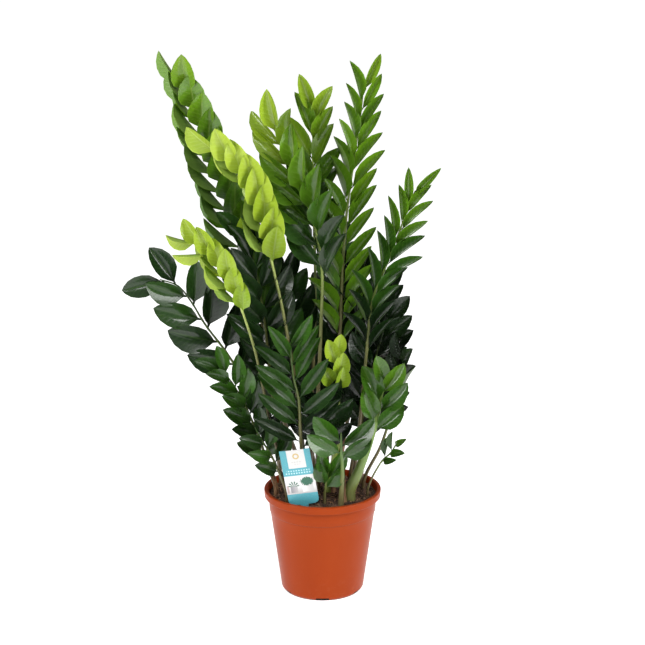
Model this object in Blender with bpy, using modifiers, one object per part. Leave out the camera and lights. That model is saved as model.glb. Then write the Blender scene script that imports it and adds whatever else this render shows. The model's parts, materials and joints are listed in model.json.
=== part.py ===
"""A potted ZZ plant: a nursery pot with potting mix, a plant label, and fronds that grow in two ranks of leaflets.

Metres, +Z up. The origin is the middle of the pot's foot, on the surface that it stands on.
Each frond is one grown piece: a foot in the mix, a petiole, a rachis, and the leaflets along it.
"""

import math
import random
from collections import namedtuple

import bmesh
import bpy
from mathutils import Matrix, Vector
from mathutils.bvhtree import BVHTree

CLEARANCE = 0.0003

# The pot.
POT_HEIGHT = 0.190
RIM_RADIUS = 0.105
RIM_DROP = 0.014
RIM_WIDTH = 0.0065
BAND_DROP = 0.040
BAND_STEP = 0.0015
BASE_RADIUS = 0.0745
CORNER_RADIUS = 0.008
WALL = 0.002
FLOOR_HEIGHT = 0.0075
FOOT_RING_WIDTH = 0.006
FOOT_PAD_RADIUS = 0.016
POT_STEPS = 32
NOTCHES = 6
NOTCH_WIDTH = 0.024
NOTCH_HEIGHT = 0.0055
DRAIN_HOLE_RADIUS = 0.005
DRAIN_HOLE_CIRCLE = 0.043

# The potting mix.
MIX_BELOW_RIM = 0.010
MIX_MOUND = 0.006
MIX_STEPS = 32

# The label and its stake.
LABEL_WIDTH = 0.054
LABEL_HEIGHT = 0.108
LABEL_THICKNESS = 0.0008
LABEL_CORNER = 0.012
STAKE_WIDTH = 0.014
STAKE_DEPTH = 0.048
LABEL_ACROSS = -0.33
LABEL_FROM_WALL = 0.001
LABEL_LIFT = 0.005
LABEL_ROLL = math.radians(9)
LABEL_TURN = math.radians(-4)

# How every frond grows. Stations are shares of a leaflet's length, with their shares of its half width.
FOOT_DEPTH = 0.032
FOOT_RISE = 0.012
FOOT_MARGIN = 0.0015
NODE_LENGTH = 0.004
TIP_RADIUS = 0.0011
LEAFLET_THICKNESS = 0.0016
LEAFLET_STATIONS = ((0.08, 0.10), (0.38, 0.90), (0.72, 0.86), (1.0, 0.0))
LEAFLET_CUP = 0.16
LEAFLET_ARCH = -0.10
LEAFLET_SCALE = 1.0
LEAFLET_ROOM = 0.0012
PETIOLE_RING_SPACING = 0.055

# A leaflet that would touch another tries these turns, in degrees, and then a smaller size.
TURNS = [(0, 0), (0, 14), (0, -14), (10, 0), (-10, 0), (0, 28), (12, 14), (-12, 14), (0, -28),
         (20, 0), (-18, 0), (0, 42), (20, 28), (-20, 28), (0, -42), (30, 0), (30, 40), (0, 58)]
SIZES = (1.0, 0.88, 0.74, 0.6, 0.46, 0.34)

# foot: x and y as shares of the mix's radius. route: points above the mix's surface.
# first and pitch: where the leaflets begin along the route, and their spacing on one side.
# leaf: length and width. facing: azimuth and elevation that the upper side looks to.
# ascent, lift, roll: a leaflet's angle from the rachis, out of the frond's plane, and about itself.
Frond = namedtuple("Frond", "name foot route girth first pitch leaf facing ascent lift roll colour")

LIME = (0.36, 0.52, 0.07)
FRESH = (0.17, 0.36, 0.04)
GREEN = (0.07, 0.20, 0.03)
DARK = (0.025, 0.085, 0.02)
BLACKISH = (0.012, 0.03, 0.014)

FRONDS = [
    Frond("frond_tall_left", (-0.43, 0.54),
          [(-0.070, 0.055, 0.12), (-0.101, 0.055, 0.27), (-0.135, 0.045, 0.415), (-0.165, 0.035, 0.515),
           (-0.203, 0.015, 0.64), (-0.232, 0.00, 0.725), (-0.246, -0.005, 0.758)],
          0.0045, 0.33, 0.035, (0.090, 0.050), (-128, 5), 36, 16, -44, FRESH),
    Frond("frond_lime_arching", (-0.36, 0.15),
          [(-0.044, 0.01, 0.17), (-0.066, 0.00, 0.32), (-0.086, -0.01, 0.42), (-0.104, -0.02, 0.50),
           (-0.124, -0.03, 0.565), (-0.155, -0.045, 0.612), (-0.186, -0.055, 0.635)],
          0.0040, 0.430, 0.033, (0.090, 0.044), (-128, -5), 28, 16, -38, LIME),
    Frond("frond_lime_small", (-0.71, -0.34),
          [(-0.089, -0.05, 0.135), (-0.113, -0.07, 0.27), (-0.131, -0.08, 0.34), (-0.150, -0.087, 0.395),
           (-0.184, -0.09, 0.455), (-0.212, -0.09, 0.483), (-0.230, -0.09, 0.50)],
          0.0034, 0.370, 0.027, (0.068, 0.034), (-128, -5), 24, 12, -32, LIME),
    Frond("frond_dark_far_left", (-0.71, 0.24),
          [(-0.091, 0.02, 0.093), (-0.129, 0.015, 0.185), (-0.167, 0.01, 0.255), (-0.206, 0.01, 0.31),
           (-0.229, 0.005, 0.352), (-0.252, 0.00, 0.384), (-0.284, 0.00, 0.396)],
          0.0036, 0.235, 0.050, (0.092, 0.048), (-84, 14), 42, 18, -10, DARK),
    Frond("frond_low_left", (-0.98, -0.17),
          [(-0.099, -0.03, 0.065), (-0.110, -0.04, 0.114), (-0.124, -0.045, 0.151), (-0.138, -0.05, 0.186),
           (-0.159, -0.06, 0.228), (-0.180, -0.065, 0.256)],
          0.0034, 0.08, 0.030, (0.066, 0.029), (-75, 25), 38, 22, 20, DARK),
    Frond("frond_centre_front", (-0.36, -0.54),
          [(-0.038, -0.07, 0.124), (-0.041, -0.09, 0.202), (-0.050, -0.10, 0.249), (-0.054, -0.112, 0.298),
           (-0.055, -0.12, 0.315)],
          0.0040, 0.105, 0.034, (0.100, 0.026), (-90, 20), 40, 16, 26, DARK),
    Frond("frond_low_front", (0.39, -0.82),
          [(0.035, -0.082, 0.062), (0.033, -0.098, 0.112), (0.032, -0.106, 0.150)],
          0.0050, 0.100, 0.024, (0.076, 0.036), (-90, 30), 46, 18, 8, DARK),
    Frond("frond_centre_left", (-0.10, 0.02),
          [(-0.008, 0.00, 0.175), (-0.003, 0.00, 0.304), (-0.001, 0.00, 0.42), (-0.018, -0.005, 0.508),
           (-0.047, -0.01, 0.584), (-0.074, -0.01, 0.647), (-0.088, -0.01, 0.672)],
          0.0046, 0.395, 0.038, (0.100, 0.034), (-118, 10), 31, 20, 12, GREEN),
    Frond("frond_centre_tall", (-0.26, 0.45),
          [(-0.019, 0.045, 0.162), (-0.013, 0.05, 0.347), (-0.015, 0.05, 0.492), (-0.017, 0.045, 0.604),
           (-0.015, 0.04, 0.680), (-0.013, 0.035, 0.705)],
          0.0042, 0.42, 0.040, (0.092, 0.028), (-95, 10), 28, 18, 28, FRESH),
    Frond("frond_right_tall", (0.21, 0.39),
          [(0.028, 0.045, 0.162), (0.033, 0.045, 0.347), (0.041, 0.035, 0.494), (0.055, 0.03, 0.607),
           (0.065, 0.03, 0.678), (0.071, 0.03, 0.735)],
          0.0046, 0.265, 0.035, (0.092, 0.020), (-78, 10), 31, 18, 38, GREEN),
    Frond("frond_right_arching", (0.66, 0.13),
          [(0.069, 0.005, 0.156), (0.078, -0.012, 0.272), (0.086, -0.025, 0.36), (0.110, -0.033, 0.430),
           (0.133, -0.04, 0.494), (0.148, -0.045, 0.540), (0.158, -0.05, 0.565)],
          0.0038, 0.27, 0.033, (0.084, 0.018), (-92, 15), 27, 18, 40, GREEN),
    Frond("frond_dark_right", (0.86, 0.17),
          [(0.103, 0.01, 0.081), (0.120, 0.01, 0.132), (0.138, 0.00, 0.180), (0.144, 0.00, 0.231),
           (0.144, 0.00, 0.262)],
          0.0036, 0.14, 0.034, (0.064, 0.028), (-140, 20), 32, 24, 15, BLACKISH),
    Frond("frond_low_right", (0.92, -0.26),
          [(0.102, -0.03, 0.065), (0.121, -0.04, 0.090), (0.131, -0.045, 0.110)],
          0.0022, 0.075, 0.020, (0.040, 0.014), (-110, 40), 34, 20, 0, DARK),
    Frond("frond_stout_front", (0.62, -0.56),
          [(0.060, -0.049, 0.050), (0.080, -0.050, 0.105), (0.097, -0.046, 0.165), (0.108, -0.045, 0.225)],
          0.0115, 0.140, 0.034, (0.074, 0.036), (-80, 20), 32, 24, 10, GREEN),
    Frond("frond_young_shoot", (0.15, -0.12),
          [(0.029, -0.040, 0.110), (0.027, -0.058, 0.184), (0.024, -0.066, 0.245), (0.023, -0.070, 0.285)],
          0.0085, 0.214, 0.021, (0.050, 0.028), (-85, 5), 15, 24, 0, LIME),
    Frond("frond_black_right", (0.60, 0.62),
          [(0.071, 0.055, 0.12), (0.090, 0.045, 0.218), (0.106, 0.035, 0.285), (0.116, 0.03, 0.325)],
          0.0040, 0.10, 0.036, (0.088, 0.036), (-100, 20), 38, 22, 10, BLACKISH),
    Frond("frond_dark_left", (-0.66, 0.60),
          [(-0.088, 0.034, 0.165), (-0.101, 0.015, 0.301), (-0.113, 0.003, 0.395), (-0.128, -0.005, 0.455),
           (-0.138, -0.01, 0.49)],
          0.0040, 0.14, 0.040, (0.094, 0.036), (-75, 15), 38, 24, 10, DARK),
    Frond("frond_dark_back_left", (-0.15, 0.81),
          [(-0.044, 0.075, 0.152), (-0.058, 0.065, 0.287), (-0.067, 0.05, 0.364), (-0.070, 0.04, 0.41)],
          0.0040, 0.10, 0.040, (0.092, 0.036), (-85, 15), 38, 22, 10, DARK),
    Frond("frond_dark_back_right", (0.30, 0.81),
          [(0.050, 0.075, 0.133), (0.062, 0.075, 0.247), (0.060, 0.065, 0.345), (0.054, 0.055, 0.40)],
          0.0040, 0.10, 0.038, (0.090, 0.036), (-95, 15), 38, 22, 10, BLACKISH),
    Frond("frond_back_centre", (0.10, 0.985),
          [(0.012, 0.118, 0.12), (0.020, 0.148, 0.24), (0.026, 0.182, 0.34), (0.030, 0.208, 0.41)],
          0.0040, 0.10, 0.038, (0.086, 0.038), (-90, 50), 38, 24, 5, DARK),
    Frond("frond_back_right", (0.82, 0.50),
          [(0.090, 0.090, 0.10), (0.102, 0.122, 0.20), (0.112, 0.152, 0.29), (0.118, 0.172, 0.34)],
          0.0038, 0.09, 0.036, (0.082, 0.036), (-120, 45), 38, 24, 5, DARK),
    Frond("frond_back_left", (-0.88, 0.44),
          [(-0.094, 0.085, 0.10), (-0.110, 0.122, 0.21), (-0.122, 0.155, 0.31), (-0.128, 0.178, 0.37)],
          0.0038, 0.09, 0.036, (0.082, 0.036), (-60, 45), 38, 24, 5, DARK),
    Frond("frond_dark_low_centre", (-0.17, -0.28),
          [(-0.006, -0.040, 0.095), (-0.006, -0.052, 0.160), (-0.010, -0.060, 0.205)],
          0.0036, 0.100, 0.034, (0.080, 0.032), (-90, 15), 38, 20, 10, BLACKISH),
    Frond("frond_small_left", (-0.73, -0.62),
          [(-0.084, -0.062, 0.079), (-0.103, -0.07, 0.118), (-0.118, -0.072, 0.148)],
          0.0030, 0.050, 0.030, (0.060, 0.026), (-80, 30), 42, 20, 10, DARK),
    Frond("frond_small_front", (0.04, -0.71),
          [(0.007, -0.070, 0.045), (0.012, -0.078, 0.075)],
          0.0028, 0.030, 0.020, (0.056, 0.026), (-85, 10), 24, 14, 0, DARK),
]

# Papery sheaths that stand round a petiole's foot: frond, height, open angle, and the turn of its middle.
SHEATHS = [
    ("sheath_young_shoot", "frond_young_shoot", 0.165, 200, 0),
    ("sheath_low_left", "frond_low_left", 0.075, 220, 60),
    ("sheath_stout_front", "frond_stout_front", 0.045, 230, 180),
]
SHEATH_THICKNESS = 0.0010
SHEATH_STEPS = 5
SHEATH_FLARE = 0.0015
SHEATH_FOOT = 0.015
SHEATH_GAP = 0.0010
SHEATH_RING_SPACING = 0.025

MIX_TOP = POT_HEIGHT - MIX_BELOW_RIM
BAND_TOP_RADIUS = RIM_RADIUS - RIM_WIDTH - 0.001


def clear_scene():
    for obj in list(bpy.data.objects):
        bpy.data.objects.remove(obj)


def make_collection(name):
    collection = bpy.data.collections.new(name)
    bpy.context.scene.collection.children.link(collection)
    return collection


def make_material(name, colour, roughness):
    material = bpy.data.materials.new(name)
    material.use_nodes = True
    shader = material.node_tree.nodes["Principled BSDF"]
    shader.inputs["Base Color"].default_value = (*colour, 1.0)
    shader.inputs["Roughness"].default_value = roughness
    shader.inputs["Metallic"].default_value = 0.0
    return material


def add_object(name, bm, collection, material=None):
    mesh = bpy.data.meshes.new(name)
    bm.to_mesh(mesh)
    bm.free()
    obj = bpy.data.objects.new(name, mesh)
    collection.objects.link(obj)
    if material:
        mesh.materials.append(material)
    mesh.shade_smooth()
    mesh.set_sharp_from_angle(angle=math.radians(35))
    return obj


def turned(name, profile, steps, collection, material=None):
    """A closed profile of (radius, height) points, turned about Z. It runs down its outer side."""
    bm = bmesh.new()
    points = [bm.verts.new((radius, 0, height)) for radius, height in profile]
    for start, end in zip(points, points[1:] + points[:1]):
        if start.co.x > 0 or end.co.x > 0:
            bm.edges.new((start, end))
    obj = add_object(name, bm, collection, material)
    screw = obj.modifiers.new("turn", "SCREW")
    screw.steps = screw.render_steps = steps
    screw.use_merge_vertices = True
    screw.merge_threshold = 0.00005
    return obj


def as_cutter(obj):
    obj.hide_render = True
    obj.display_type = "WIRE"
    return obj


def cut(obj, cutter):
    boolean = obj.modifiers.new("cut_" + cutter.name, "BOOLEAN")
    boolean.operation = "DIFFERENCE"
    boolean.object = cutter
    return boolean


# The pot.

def outer_radius(height):
    """The body's outer radius below the band, which tapers in a straight line to the base."""
    top = POT_HEIGHT - BAND_DROP
    share = (height - CORNER_RADIUS) / (top - CORNER_RADIUS)
    return BASE_RADIUS + (BAND_TOP_RADIUS - 0.0035 - BASE_RADIUS) * share


def inner_radius(height):
    return outer_radius(height) - WALL


def wall_lean():
    """How far the pot's wall leans outwards, as an angle from upright."""
    rise = POT_HEIGHT - BAND_DROP
    return math.atan((outer_radius(rise) - outer_radius(0.0)) / rise)


def pot_profile():
    top = POT_HEIGHT
    band = top - BAND_DROP
    inner_top = inner_radius(band) + BAND_STEP + 0.0045
    skirt_in = RIM_RADIUS - WALL
    corner = [(BASE_RADIUS - CORNER_RADIUS * (1 - math.cos(turn)), CORNER_RADIUS * (1 - math.sin(turn)))
              for turn in (math.radians(step) for step in (0, 30, 60, 90))]
    outside = [(RIM_RADIUS - 0.002, top), (RIM_RADIUS, top - 0.002), (RIM_RADIUS - 0.0008, top - RIM_DROP),
               (skirt_in - 0.0008, top - RIM_DROP), (skirt_in - 0.0004, top - WALL - 0.001),
               (BAND_TOP_RADIUS, top - WALL - 0.001), (outer_radius(band) + BAND_STEP, band),
               (outer_radius(band), band - 0.0008)]
    ring_in = corner[-1][0] - FOOT_RING_WIDTH
    underside = [(ring_in, 0.0), (ring_in - 0.001, FLOOR_HEIGHT - WALL),
                 (FOOT_PAD_RADIUS, FLOOR_HEIGHT - WALL), (FOOT_PAD_RADIUS - 0.0005, 0.0), (0.0, 0.0)]
    inside = [(0.0, FLOOR_HEIGHT), (inner_radius(FLOOR_HEIGHT) - 0.004, FLOOR_HEIGHT),
              (inner_radius(FLOOR_HEIGHT + 0.004), FLOOR_HEIGHT + 0.004), (inner_radius(band), band),
              (inner_top, top - 0.0015), (inner_top + 0.0015, top)]
    return outside + corner + underside + inside


def make_pot(collection, cutters, material):
    pot = turned("nursery_pot", pot_profile(), POT_STEPS, collection, material)
    bm = bmesh.new()
    for index in range(NOTCHES):
        angle = math.tau * index / NOTCHES - math.pi / 2
        size = Matrix.Diagonal((0.03, NOTCH_WIDTH, 2 * NOTCH_HEIGHT, 1))
        place = Matrix.Rotation(angle, 4, "Z") @ Matrix.Translation((BASE_RADIUS - 0.006, 0, 0))
        bmesh.ops.create_cube(bm, size=1, matrix=place @ size)
    cut(pot, as_cutter(add_object("drain_notches", bm, cutters)))
    bm = bmesh.new()
    for index in range(NOTCHES):
        angle = math.tau * (index + 0.5) / NOTCHES - math.pi / 2
        place = Matrix.Rotation(angle, 4, "Z") @ Matrix.Translation((DRAIN_HOLE_CIRCLE, 0, FLOOR_HEIGHT))
        bmesh.ops.create_cone(bm, cap_ends=True, segments=12, radius1=DRAIN_HOLE_RADIUS,
                              radius2=DRAIN_HOLE_RADIUS, depth=0.02, matrix=place)
    cut(pot, as_cutter(add_object("drain_holes", bm, cutters)))
    return pot


def pot_walls():
    """Rough rings over the rim and the mix, which leaflets keep clear of."""
    inside = inner_radius(MIX_TOP) - 0.001
    outline = ((outer_radius(0.1) + 0.001, 0.1), (RIM_RADIUS + 0.001, POT_HEIGHT - RIM_DROP - 0.002),
               (RIM_RADIUS + 0.001, POT_HEIGHT + 0.001), (inside, POT_HEIGHT + 0.001),
               (inside, mix_height(inside) + 0.001), (0.001, mix_height(0) + 0.002))
    spokes = [math.tau * step / 32 for step in range(32)]
    return [[Vector((radius * math.cos(turn), radius * math.sin(turn), height)) for turn in spokes]
            for radius, height in outline]


# The potting mix.

def mix_height(radius):
    share = min(1.0, radius / inner_radius(MIX_TOP))
    return MIX_TOP + MIX_MOUND * (1 - share * share)


def make_mix(collection, material):
    band = POT_HEIGHT - BAND_DROP
    floor = FLOOR_HEIGHT + CLEARANCE
    wall = [(inner_radius(band) - CLEARANCE, band),
            (inner_radius(FLOOR_HEIGHT + 0.004) - CLEARANCE, floor + 0.004),
            (inner_radius(FLOOR_HEIGHT) - 0.004 - CLEARANCE, floor), (0.0, floor)]
    edge = wall[0][0] + (MIX_TOP - band) * 0.12
    top = [(0.0, mix_height(0))] + [(edge * share, mix_height(edge * share)) for share in (0.35, 0.7)]
    return turned("potting_mix", top + [(edge, MIX_TOP)] + wall, MIX_STEPS, collection, material)


# The label.

def label_matrix():
    """The label is pushed into the mix along the pot's wall."""
    radius = inner_radius(MIX_TOP)
    x = LABEL_ACROSS * radius
    corner = abs(x) + LABEL_WIDTH / 2 * math.cos(LABEL_ROLL)
    y = LABEL_FROM_WALL - math.sqrt(radius ** 2 - corner ** 2)
    place = Matrix.Translation((x, y, mix_height(math.hypot(x, y)) + LABEL_LIFT))
    return (place @ Matrix.Rotation(LABEL_TURN, 4, "Z") @ Matrix.Rotation(wall_lean(), 4, "X")
            @ Matrix.Rotation(-LABEL_ROLL, 4, "Y"))


def label_outline(grow):
    """The label's outline in its own plane, from the stake's tip up: x across, y up."""
    half, stake = LABEL_WIDTH / 2, STAKE_WIDTH / 2 + grow
    arc = [(half - LABEL_CORNER + LABEL_CORNER * math.sin(turn), LABEL_CORNER * (1 - math.cos(turn)))
           for turn in (math.radians(step) for step in (30, 60, 90))]
    right = [(0.002 + grow, -STAKE_DEPTH - grow), (stake, -STAKE_DEPTH + 0.012), (stake, 0.0)]
    right += [(half - LABEL_CORNER, 0.0)] + arc + [(half, LABEL_HEIGHT)]
    return right + [(-x, y) for x, y in reversed(right)]


def label_solid(name, grow, collection, material=None):
    bm = bmesh.new()
    verts = [bm.verts.new((x, 0, y)) for x, y in label_outline(grow)]
    face = bm.faces.new(verts)
    face.normal_update()
    depth = LABEL_THICKNESS + 2 * grow
    moved = bmesh.ops.extrude_face_region(bm, geom=[face])["geom"]
    bmesh.ops.translate(bm, vec=(0, depth, 0), verts=[v for v in moved if isinstance(v, bmesh.types.BMVert)])
    bmesh.ops.translate(bm, vec=(0, -depth / 2, 0), verts=bm.verts)
    bmesh.ops.transform(bm, matrix=label_matrix(), verts=bm.verts)
    bmesh.ops.recalc_face_normals(bm, faces=bm.faces)
    return add_object(name, bm, collection, material)


# The fronds.

def smooth_route(points, steps=12):
    """Points along a Catmull-Rom curve through the given ones, which starts straight up."""
    below = points[0] - Vector((0, 0, (points[1] - points[0]).length))
    points = [below] + points + [2 * points[-1] - points[-2]]
    route = []
    for a, b, c, d in zip(points, points[1:], points[2:], points[3:]):
        for step in range(steps):
            t = step / steps
            route.append(0.5 * (2 * b + (c - a) * t + (2 * a - 5 * b + 4 * c - d) * t * t
                                + (3 * b - a - 3 * c + d) * t ** 3))
    return route + [points[-2]]


def stem_reach(frond):
    """The distance from a stem's middle to its corners at the foot."""
    return frond.girth * 0.8 * math.sqrt(2)


def foot_reach(frond):
    """How far from the pot's axis a foot may stand and still have mix all round it."""
    return inner_radius(MIX_TOP - FOOT_DEPTH) - stem_reach(frond) / math.cos(math.pi / 8) - FOOT_MARGIN


class Rachis:
    """A frond's route with the frame at any distance along it: tangent, side and upper face."""

    def __init__(self, frond):
        reach = foot_reach(frond)
        x, y = frond.foot[0] * reach, frond.foot[1] * reach
        surface = mix_height(math.hypot(x, y))
        foot = Vector((x, y, surface - FOOT_DEPTH))
        above = [Vector((px, py, MIX_TOP + pz)) for px, py, pz in frond.route]
        self.points = [foot] + smooth_route([Vector((x, y, surface + FOOT_RISE))] + above)
        self.marks = [0.0]
        for a, b in zip(self.points, self.points[1:]):
            self.marks.append(self.marks[-1] + (b - a).length)
        azimuth, elevation = (math.radians(angle) for angle in frond.facing)
        self.facing = Vector((math.cos(azimuth) * math.cos(elevation),
                              math.sin(azimuth) * math.cos(elevation), math.sin(elevation)))
        self.girth = frond.girth
        self.length = self.marks[-1]

    def at(self, distance):
        index = max(i for i, mark in enumerate(self.marks[:-1]) if mark <= max(distance, 0.0))
        a, b = self.points[index], self.points[index + 1]
        place = a.lerp(b, (distance - self.marks[index]) / (self.marks[index + 1] - self.marks[index]))
        ahead = self.points[min(index + 2, len(self.points) - 1)]
        tangent = ((b - a).normalized() + (ahead - a).normalized()).normalized()
        upper = (self.facing - self.facing.dot(tangent) * tangent).normalized()
        return place, tangent, tangent.cross(upper), upper

    def radius(self, distance):
        share = max(0.0, min(1.0, (distance - FOOT_DEPTH) / (self.length - FOOT_DEPTH)))
        return TIP_RADIUS + (self.girth - TIP_RADIUS) * (1 - share) ** 0.8

    def ring(self, distance):
        """Four corners round the stem, with a flat towards each rank of leaflets."""
        place, _, side, upper = self.at(distance)
        reach = self.radius(distance) * 0.8
        return [place + reach * (x * side + y * upper) for x, y in ((1, 1), (-1, 1), (-1, -1), (1, -1))]


def leaflet_rings(base, out, upper, length, width, thickness):
    """The sections of a leaflet from its stalk to its tip: low edge, underside, high edge, top."""
    across = out.cross(upper)
    rings = []
    for station, share in LEAFLET_STATIONS:
        half = width / 2 * share
        middle = base + length * (station * out + LEAFLET_ARCH * station * station * upper)
        cup = LEAFLET_CUP * half * upper
        deep = thickness / 2 * min(1.0, 4 * (1.0 - station)) * upper
        rings.append([middle - across * half + cup, middle - deep,
                      middle + across * half + cup, middle + deep])
    return rings


def leaflet_frame(frame, hand, ascent, lift, roll):
    """The leaflet's direction and upper side. hand is 1 on the frond's right rank and -1 on its left."""
    _, tangent, side, upper = frame
    ascent, lift, roll = math.radians(ascent), math.radians(lift), math.radians(roll)
    spread = math.cos(lift) * hand * side + math.sin(lift) * upper
    out = (math.cos(ascent) * tangent + math.sin(ascent) * spread).normalized()
    level = (upper - upper.dot(out) * out).normalized()
    tipward = tangent - tangent.dot(out) * out
    tipward = (tipward - tipward.dot(level) * level).normalized()
    return out, (math.cos(roll) * level + math.sin(roll) * tipward).normalized()


def rings_tree(rings):
    """A search tree of the walls between one section and the next."""
    verts = [point for ring in rings for point in ring]
    size = len(rings[0])
    faces = [(size * i + k, size * i + (k + 1) % size, size * (i + 1) + (k + 1) % size, size * (i + 1) + k)
             for i in range(len(rings) - 1) for k in range(size)]
    return BVHTree.FromPolygons(verts, faces)


def corners_of(rings):
    points = [point for ring in rings for point in ring]
    low = [min(point[axis] for point in points) for axis in range(3)]
    return low, [max(point[axis] for point in points) for axis in range(3)]


class Space:
    """What already stands in the plant's space, so that a new leaflet can grow clear of it."""

    def __init__(self):
        self.taken = []

    def add(self, rings, owner=""):
        self.taken.append((rings_tree(rings), *corners_of(rings), owner))

    def is_free(self, rings, owner):
        """A leaflet's stalk may touch its own stem, and nothing else."""
        low, high = corners_of(rings)
        tree, blade = rings_tree(rings), rings_tree(rings[1:])
        for other, other_low, other_high, other_owner in self.taken:
            if any(low[axis] > other_high[axis] or high[axis] < other_low[axis] for axis in range(3)):
                continue
            if (blade if other_owner == owner else tree).overlap(other):
                return False
        return True


def leaflet_places(frond, rachis):
    """Where the leaflets leave the rachis: distance, hand, and share of the way to the tip."""
    places = []
    first = frond.first + FOOT_DEPTH
    count = max(1, int((rachis.length - first - 0.008) / frond.pitch))
    for index in range(count + 1):
        for hand in (1, -1):
            distance = first + index * frond.pitch + (0.38 * frond.pitch if hand < 0 else 0.0)
            if distance < rachis.length - 2 * NODE_LENGTH:
                places.append((distance, hand, (distance - first) / (rachis.length - first)))
    return places


def leaflet_size(frond, share, chance):
    """Leaflets are largest below the middle of the rachis and smaller towards both ends."""
    grow = 0.84 + 0.16 * math.sin(math.pi * min(1.0, 0.15 + share)) - 0.05 * share ** 3
    length = frond.leaf[0] * LEAFLET_SCALE * grow * chance.uniform(0.94, 1.06)
    width = frond.leaf[1] * LEAFLET_SCALE * (grow + 0.06) * chance.uniform(0.92, 1.06)
    return length, width


def place_leaflets(frond, rachis, space):
    """Each leaflet's stem place and its sections, turned until it stands clear of all that grew before it."""
    chance = random.Random(frond.name)
    grown = []
    for distance, hand, share in leaflet_places(frond, rachis):
        frame = rachis.at(distance + NODE_LENGTH / 2)
        length, width = leaflet_size(frond, share, chance)
        ascent = frond.ascent * (1.12 - 0.55 * share ** 2) + chance.uniform(-4, 4)
        lift = frond.lift + chance.uniform(-5, 5)
        roll = frond.roll * (1.0 - 0.8 * share ** 4) + chance.uniform(-8, 8)
        base = frame[0] + hand * frame[2] * rachis.radius(distance) * 0.8
        for size in SIZES:
            found = None
            for turn, raise_by in TURNS:
                out, upper = leaflet_frame(frame, hand, max(12, ascent + turn), lift + raise_by, roll)
                wide = leaflet_rings(base, out, upper, length * size, width * size, 2 * LEAFLET_ROOM)
                if space.is_free(wide, frond.name):
                    found = leaflet_rings(base, out, upper, length * size, width * size, LEAFLET_THICKNESS)
                    break
            if found:
                break
        if found:
            space.add(wide)
            grown.append((distance, hand, found))
    return grown


def extrude_to(bm, face, ring):
    """Extrudes one face and puts the corners of the new one on the ring's points."""
    new = bmesh.ops.extrude_discrete_faces(bm, faces=[face])["faces"][0]
    for loop, point in zip(new.loops, ring):
        loop.vert.co = point
    return new


def close_foot(bm):
    """Closes the face that the first extrusion left open, and draws each leaflet's tip to one point."""
    bmesh.ops.remove_doubles(bm, verts=bm.verts, dist=0.00001)
    bmesh.ops.holes_fill(bm, edges=[edge for edge in bm.edges if edge.is_boundary], sides=0)
    bmesh.ops.recalc_face_normals(bm, faces=bm.faces)


def side_face(bm, centre):
    return min(bm.faces, key=lambda face: (face.calc_center_median() - centre).length_squared)


def grow_frond(frond, rachis, grown, collection, material):
    """Extrudes the stem from its foot to its tip, then each leaflet out of its own short stretch of stem."""
    stops = {0.004, FOOT_DEPTH - 0.004, FOOT_DEPTH + FOOT_RISE, rachis.length}
    nodes = sorted(distance for distance, _, _ in grown)
    steps = max(2, round((nodes[0] - FOOT_DEPTH - FOOT_RISE) / PETIOLE_RING_SPACING))
    stops |= {FOOT_DEPTH + FOOT_RISE + (nodes[0] - FOOT_DEPTH - FOOT_RISE) * i / steps for i in range(1, steps)}
    for distance in nodes:
        stops |= {distance, distance + NODE_LENGTH}
    bm = bmesh.new()
    start = rachis.ring(0.0)
    middle = sum(start, Vector()) / 4
    end = bm.faces.new([bm.verts.new(middle.lerp(point, 0.6)) for point in start])
    end.normal_update()
    if end.normal.z < 0:
        end.normal_flip()
    order = sorted(stops)
    rings = [rachis.ring(distance) for distance in order]
    corners = [loop.vert for loop in end.loops]
    first = [min(range(4), key=lambda k: (corner.co - start[k]).length) for corner in corners]
    for ring in rings:
        end = extrude_to(bm, end, [ring[k] for k in first])
    for distance, hand, sections in grown:
        low, high = rachis.at(distance), rachis.at(distance + NODE_LENGTH)
        centre = (low[0] + high[0]) / 2 + hand * low[2] * rachis.radius(distance) * 0.8
        face = side_face(bm, centre)
        grow_leaflet(bm, face, sections)
    close_foot(bm)
    return add_object(frond.name, bm, collection, material)


def grow_leaflet(bm, face, sections):
    """Matches the stem's face to the leaflet's first section by the turn that twists least."""
    start = [loop.vert.co.copy() for loop in face.loops]
    best = min((sum((start[k] - order[k]).length for k in range(4)), index, order)
               for index, order in enumerate(orders_of(sections[0])))[2:]
    wanted = [sections[0].index(point) for point in best[0]]
    for ring in sections:
        face = extrude_to(bm, face, [ring[k] for k in wanted])


def orders_of(ring):
    """The ring's points from each start, both ways round."""
    forward = [ring[k:] + ring[:k] for k in range(4)]
    return forward + [list(reversed(order)) for order in forward]


def foot_pockets(fronds, rachises, cutters):
    """A straight pocket in the mix for each frond's foot and its sheath, open at the top."""
    bm = bmesh.new()
    sheathed = {frond_name for _, frond_name, _, _, _ in SHEATHS}
    for frond in fronds:
        rachis = rachises[frond.name]
        reach = stem_reach(frond) + CLEARANCE
        if frond.name in sheathed:
            reach += SHEATH_GAP + SHEATH_THICKNESS + SHEATH_GAP
        reach /= math.cos(math.pi / 8)
        bottom = rachis.points[0] - Vector((0, 0, CLEARANCE))
        depth = FOOT_DEPTH + 0.02
        bmesh.ops.create_cone(bm, cap_ends=True, segments=8, radius1=reach, radius2=reach, depth=depth,
                              matrix=Matrix.Translation(bottom + Vector((0, 0, depth / 2))))
    return as_cutter(add_object("foot_pockets", bm, cutters))


# The sheaths.

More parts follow.
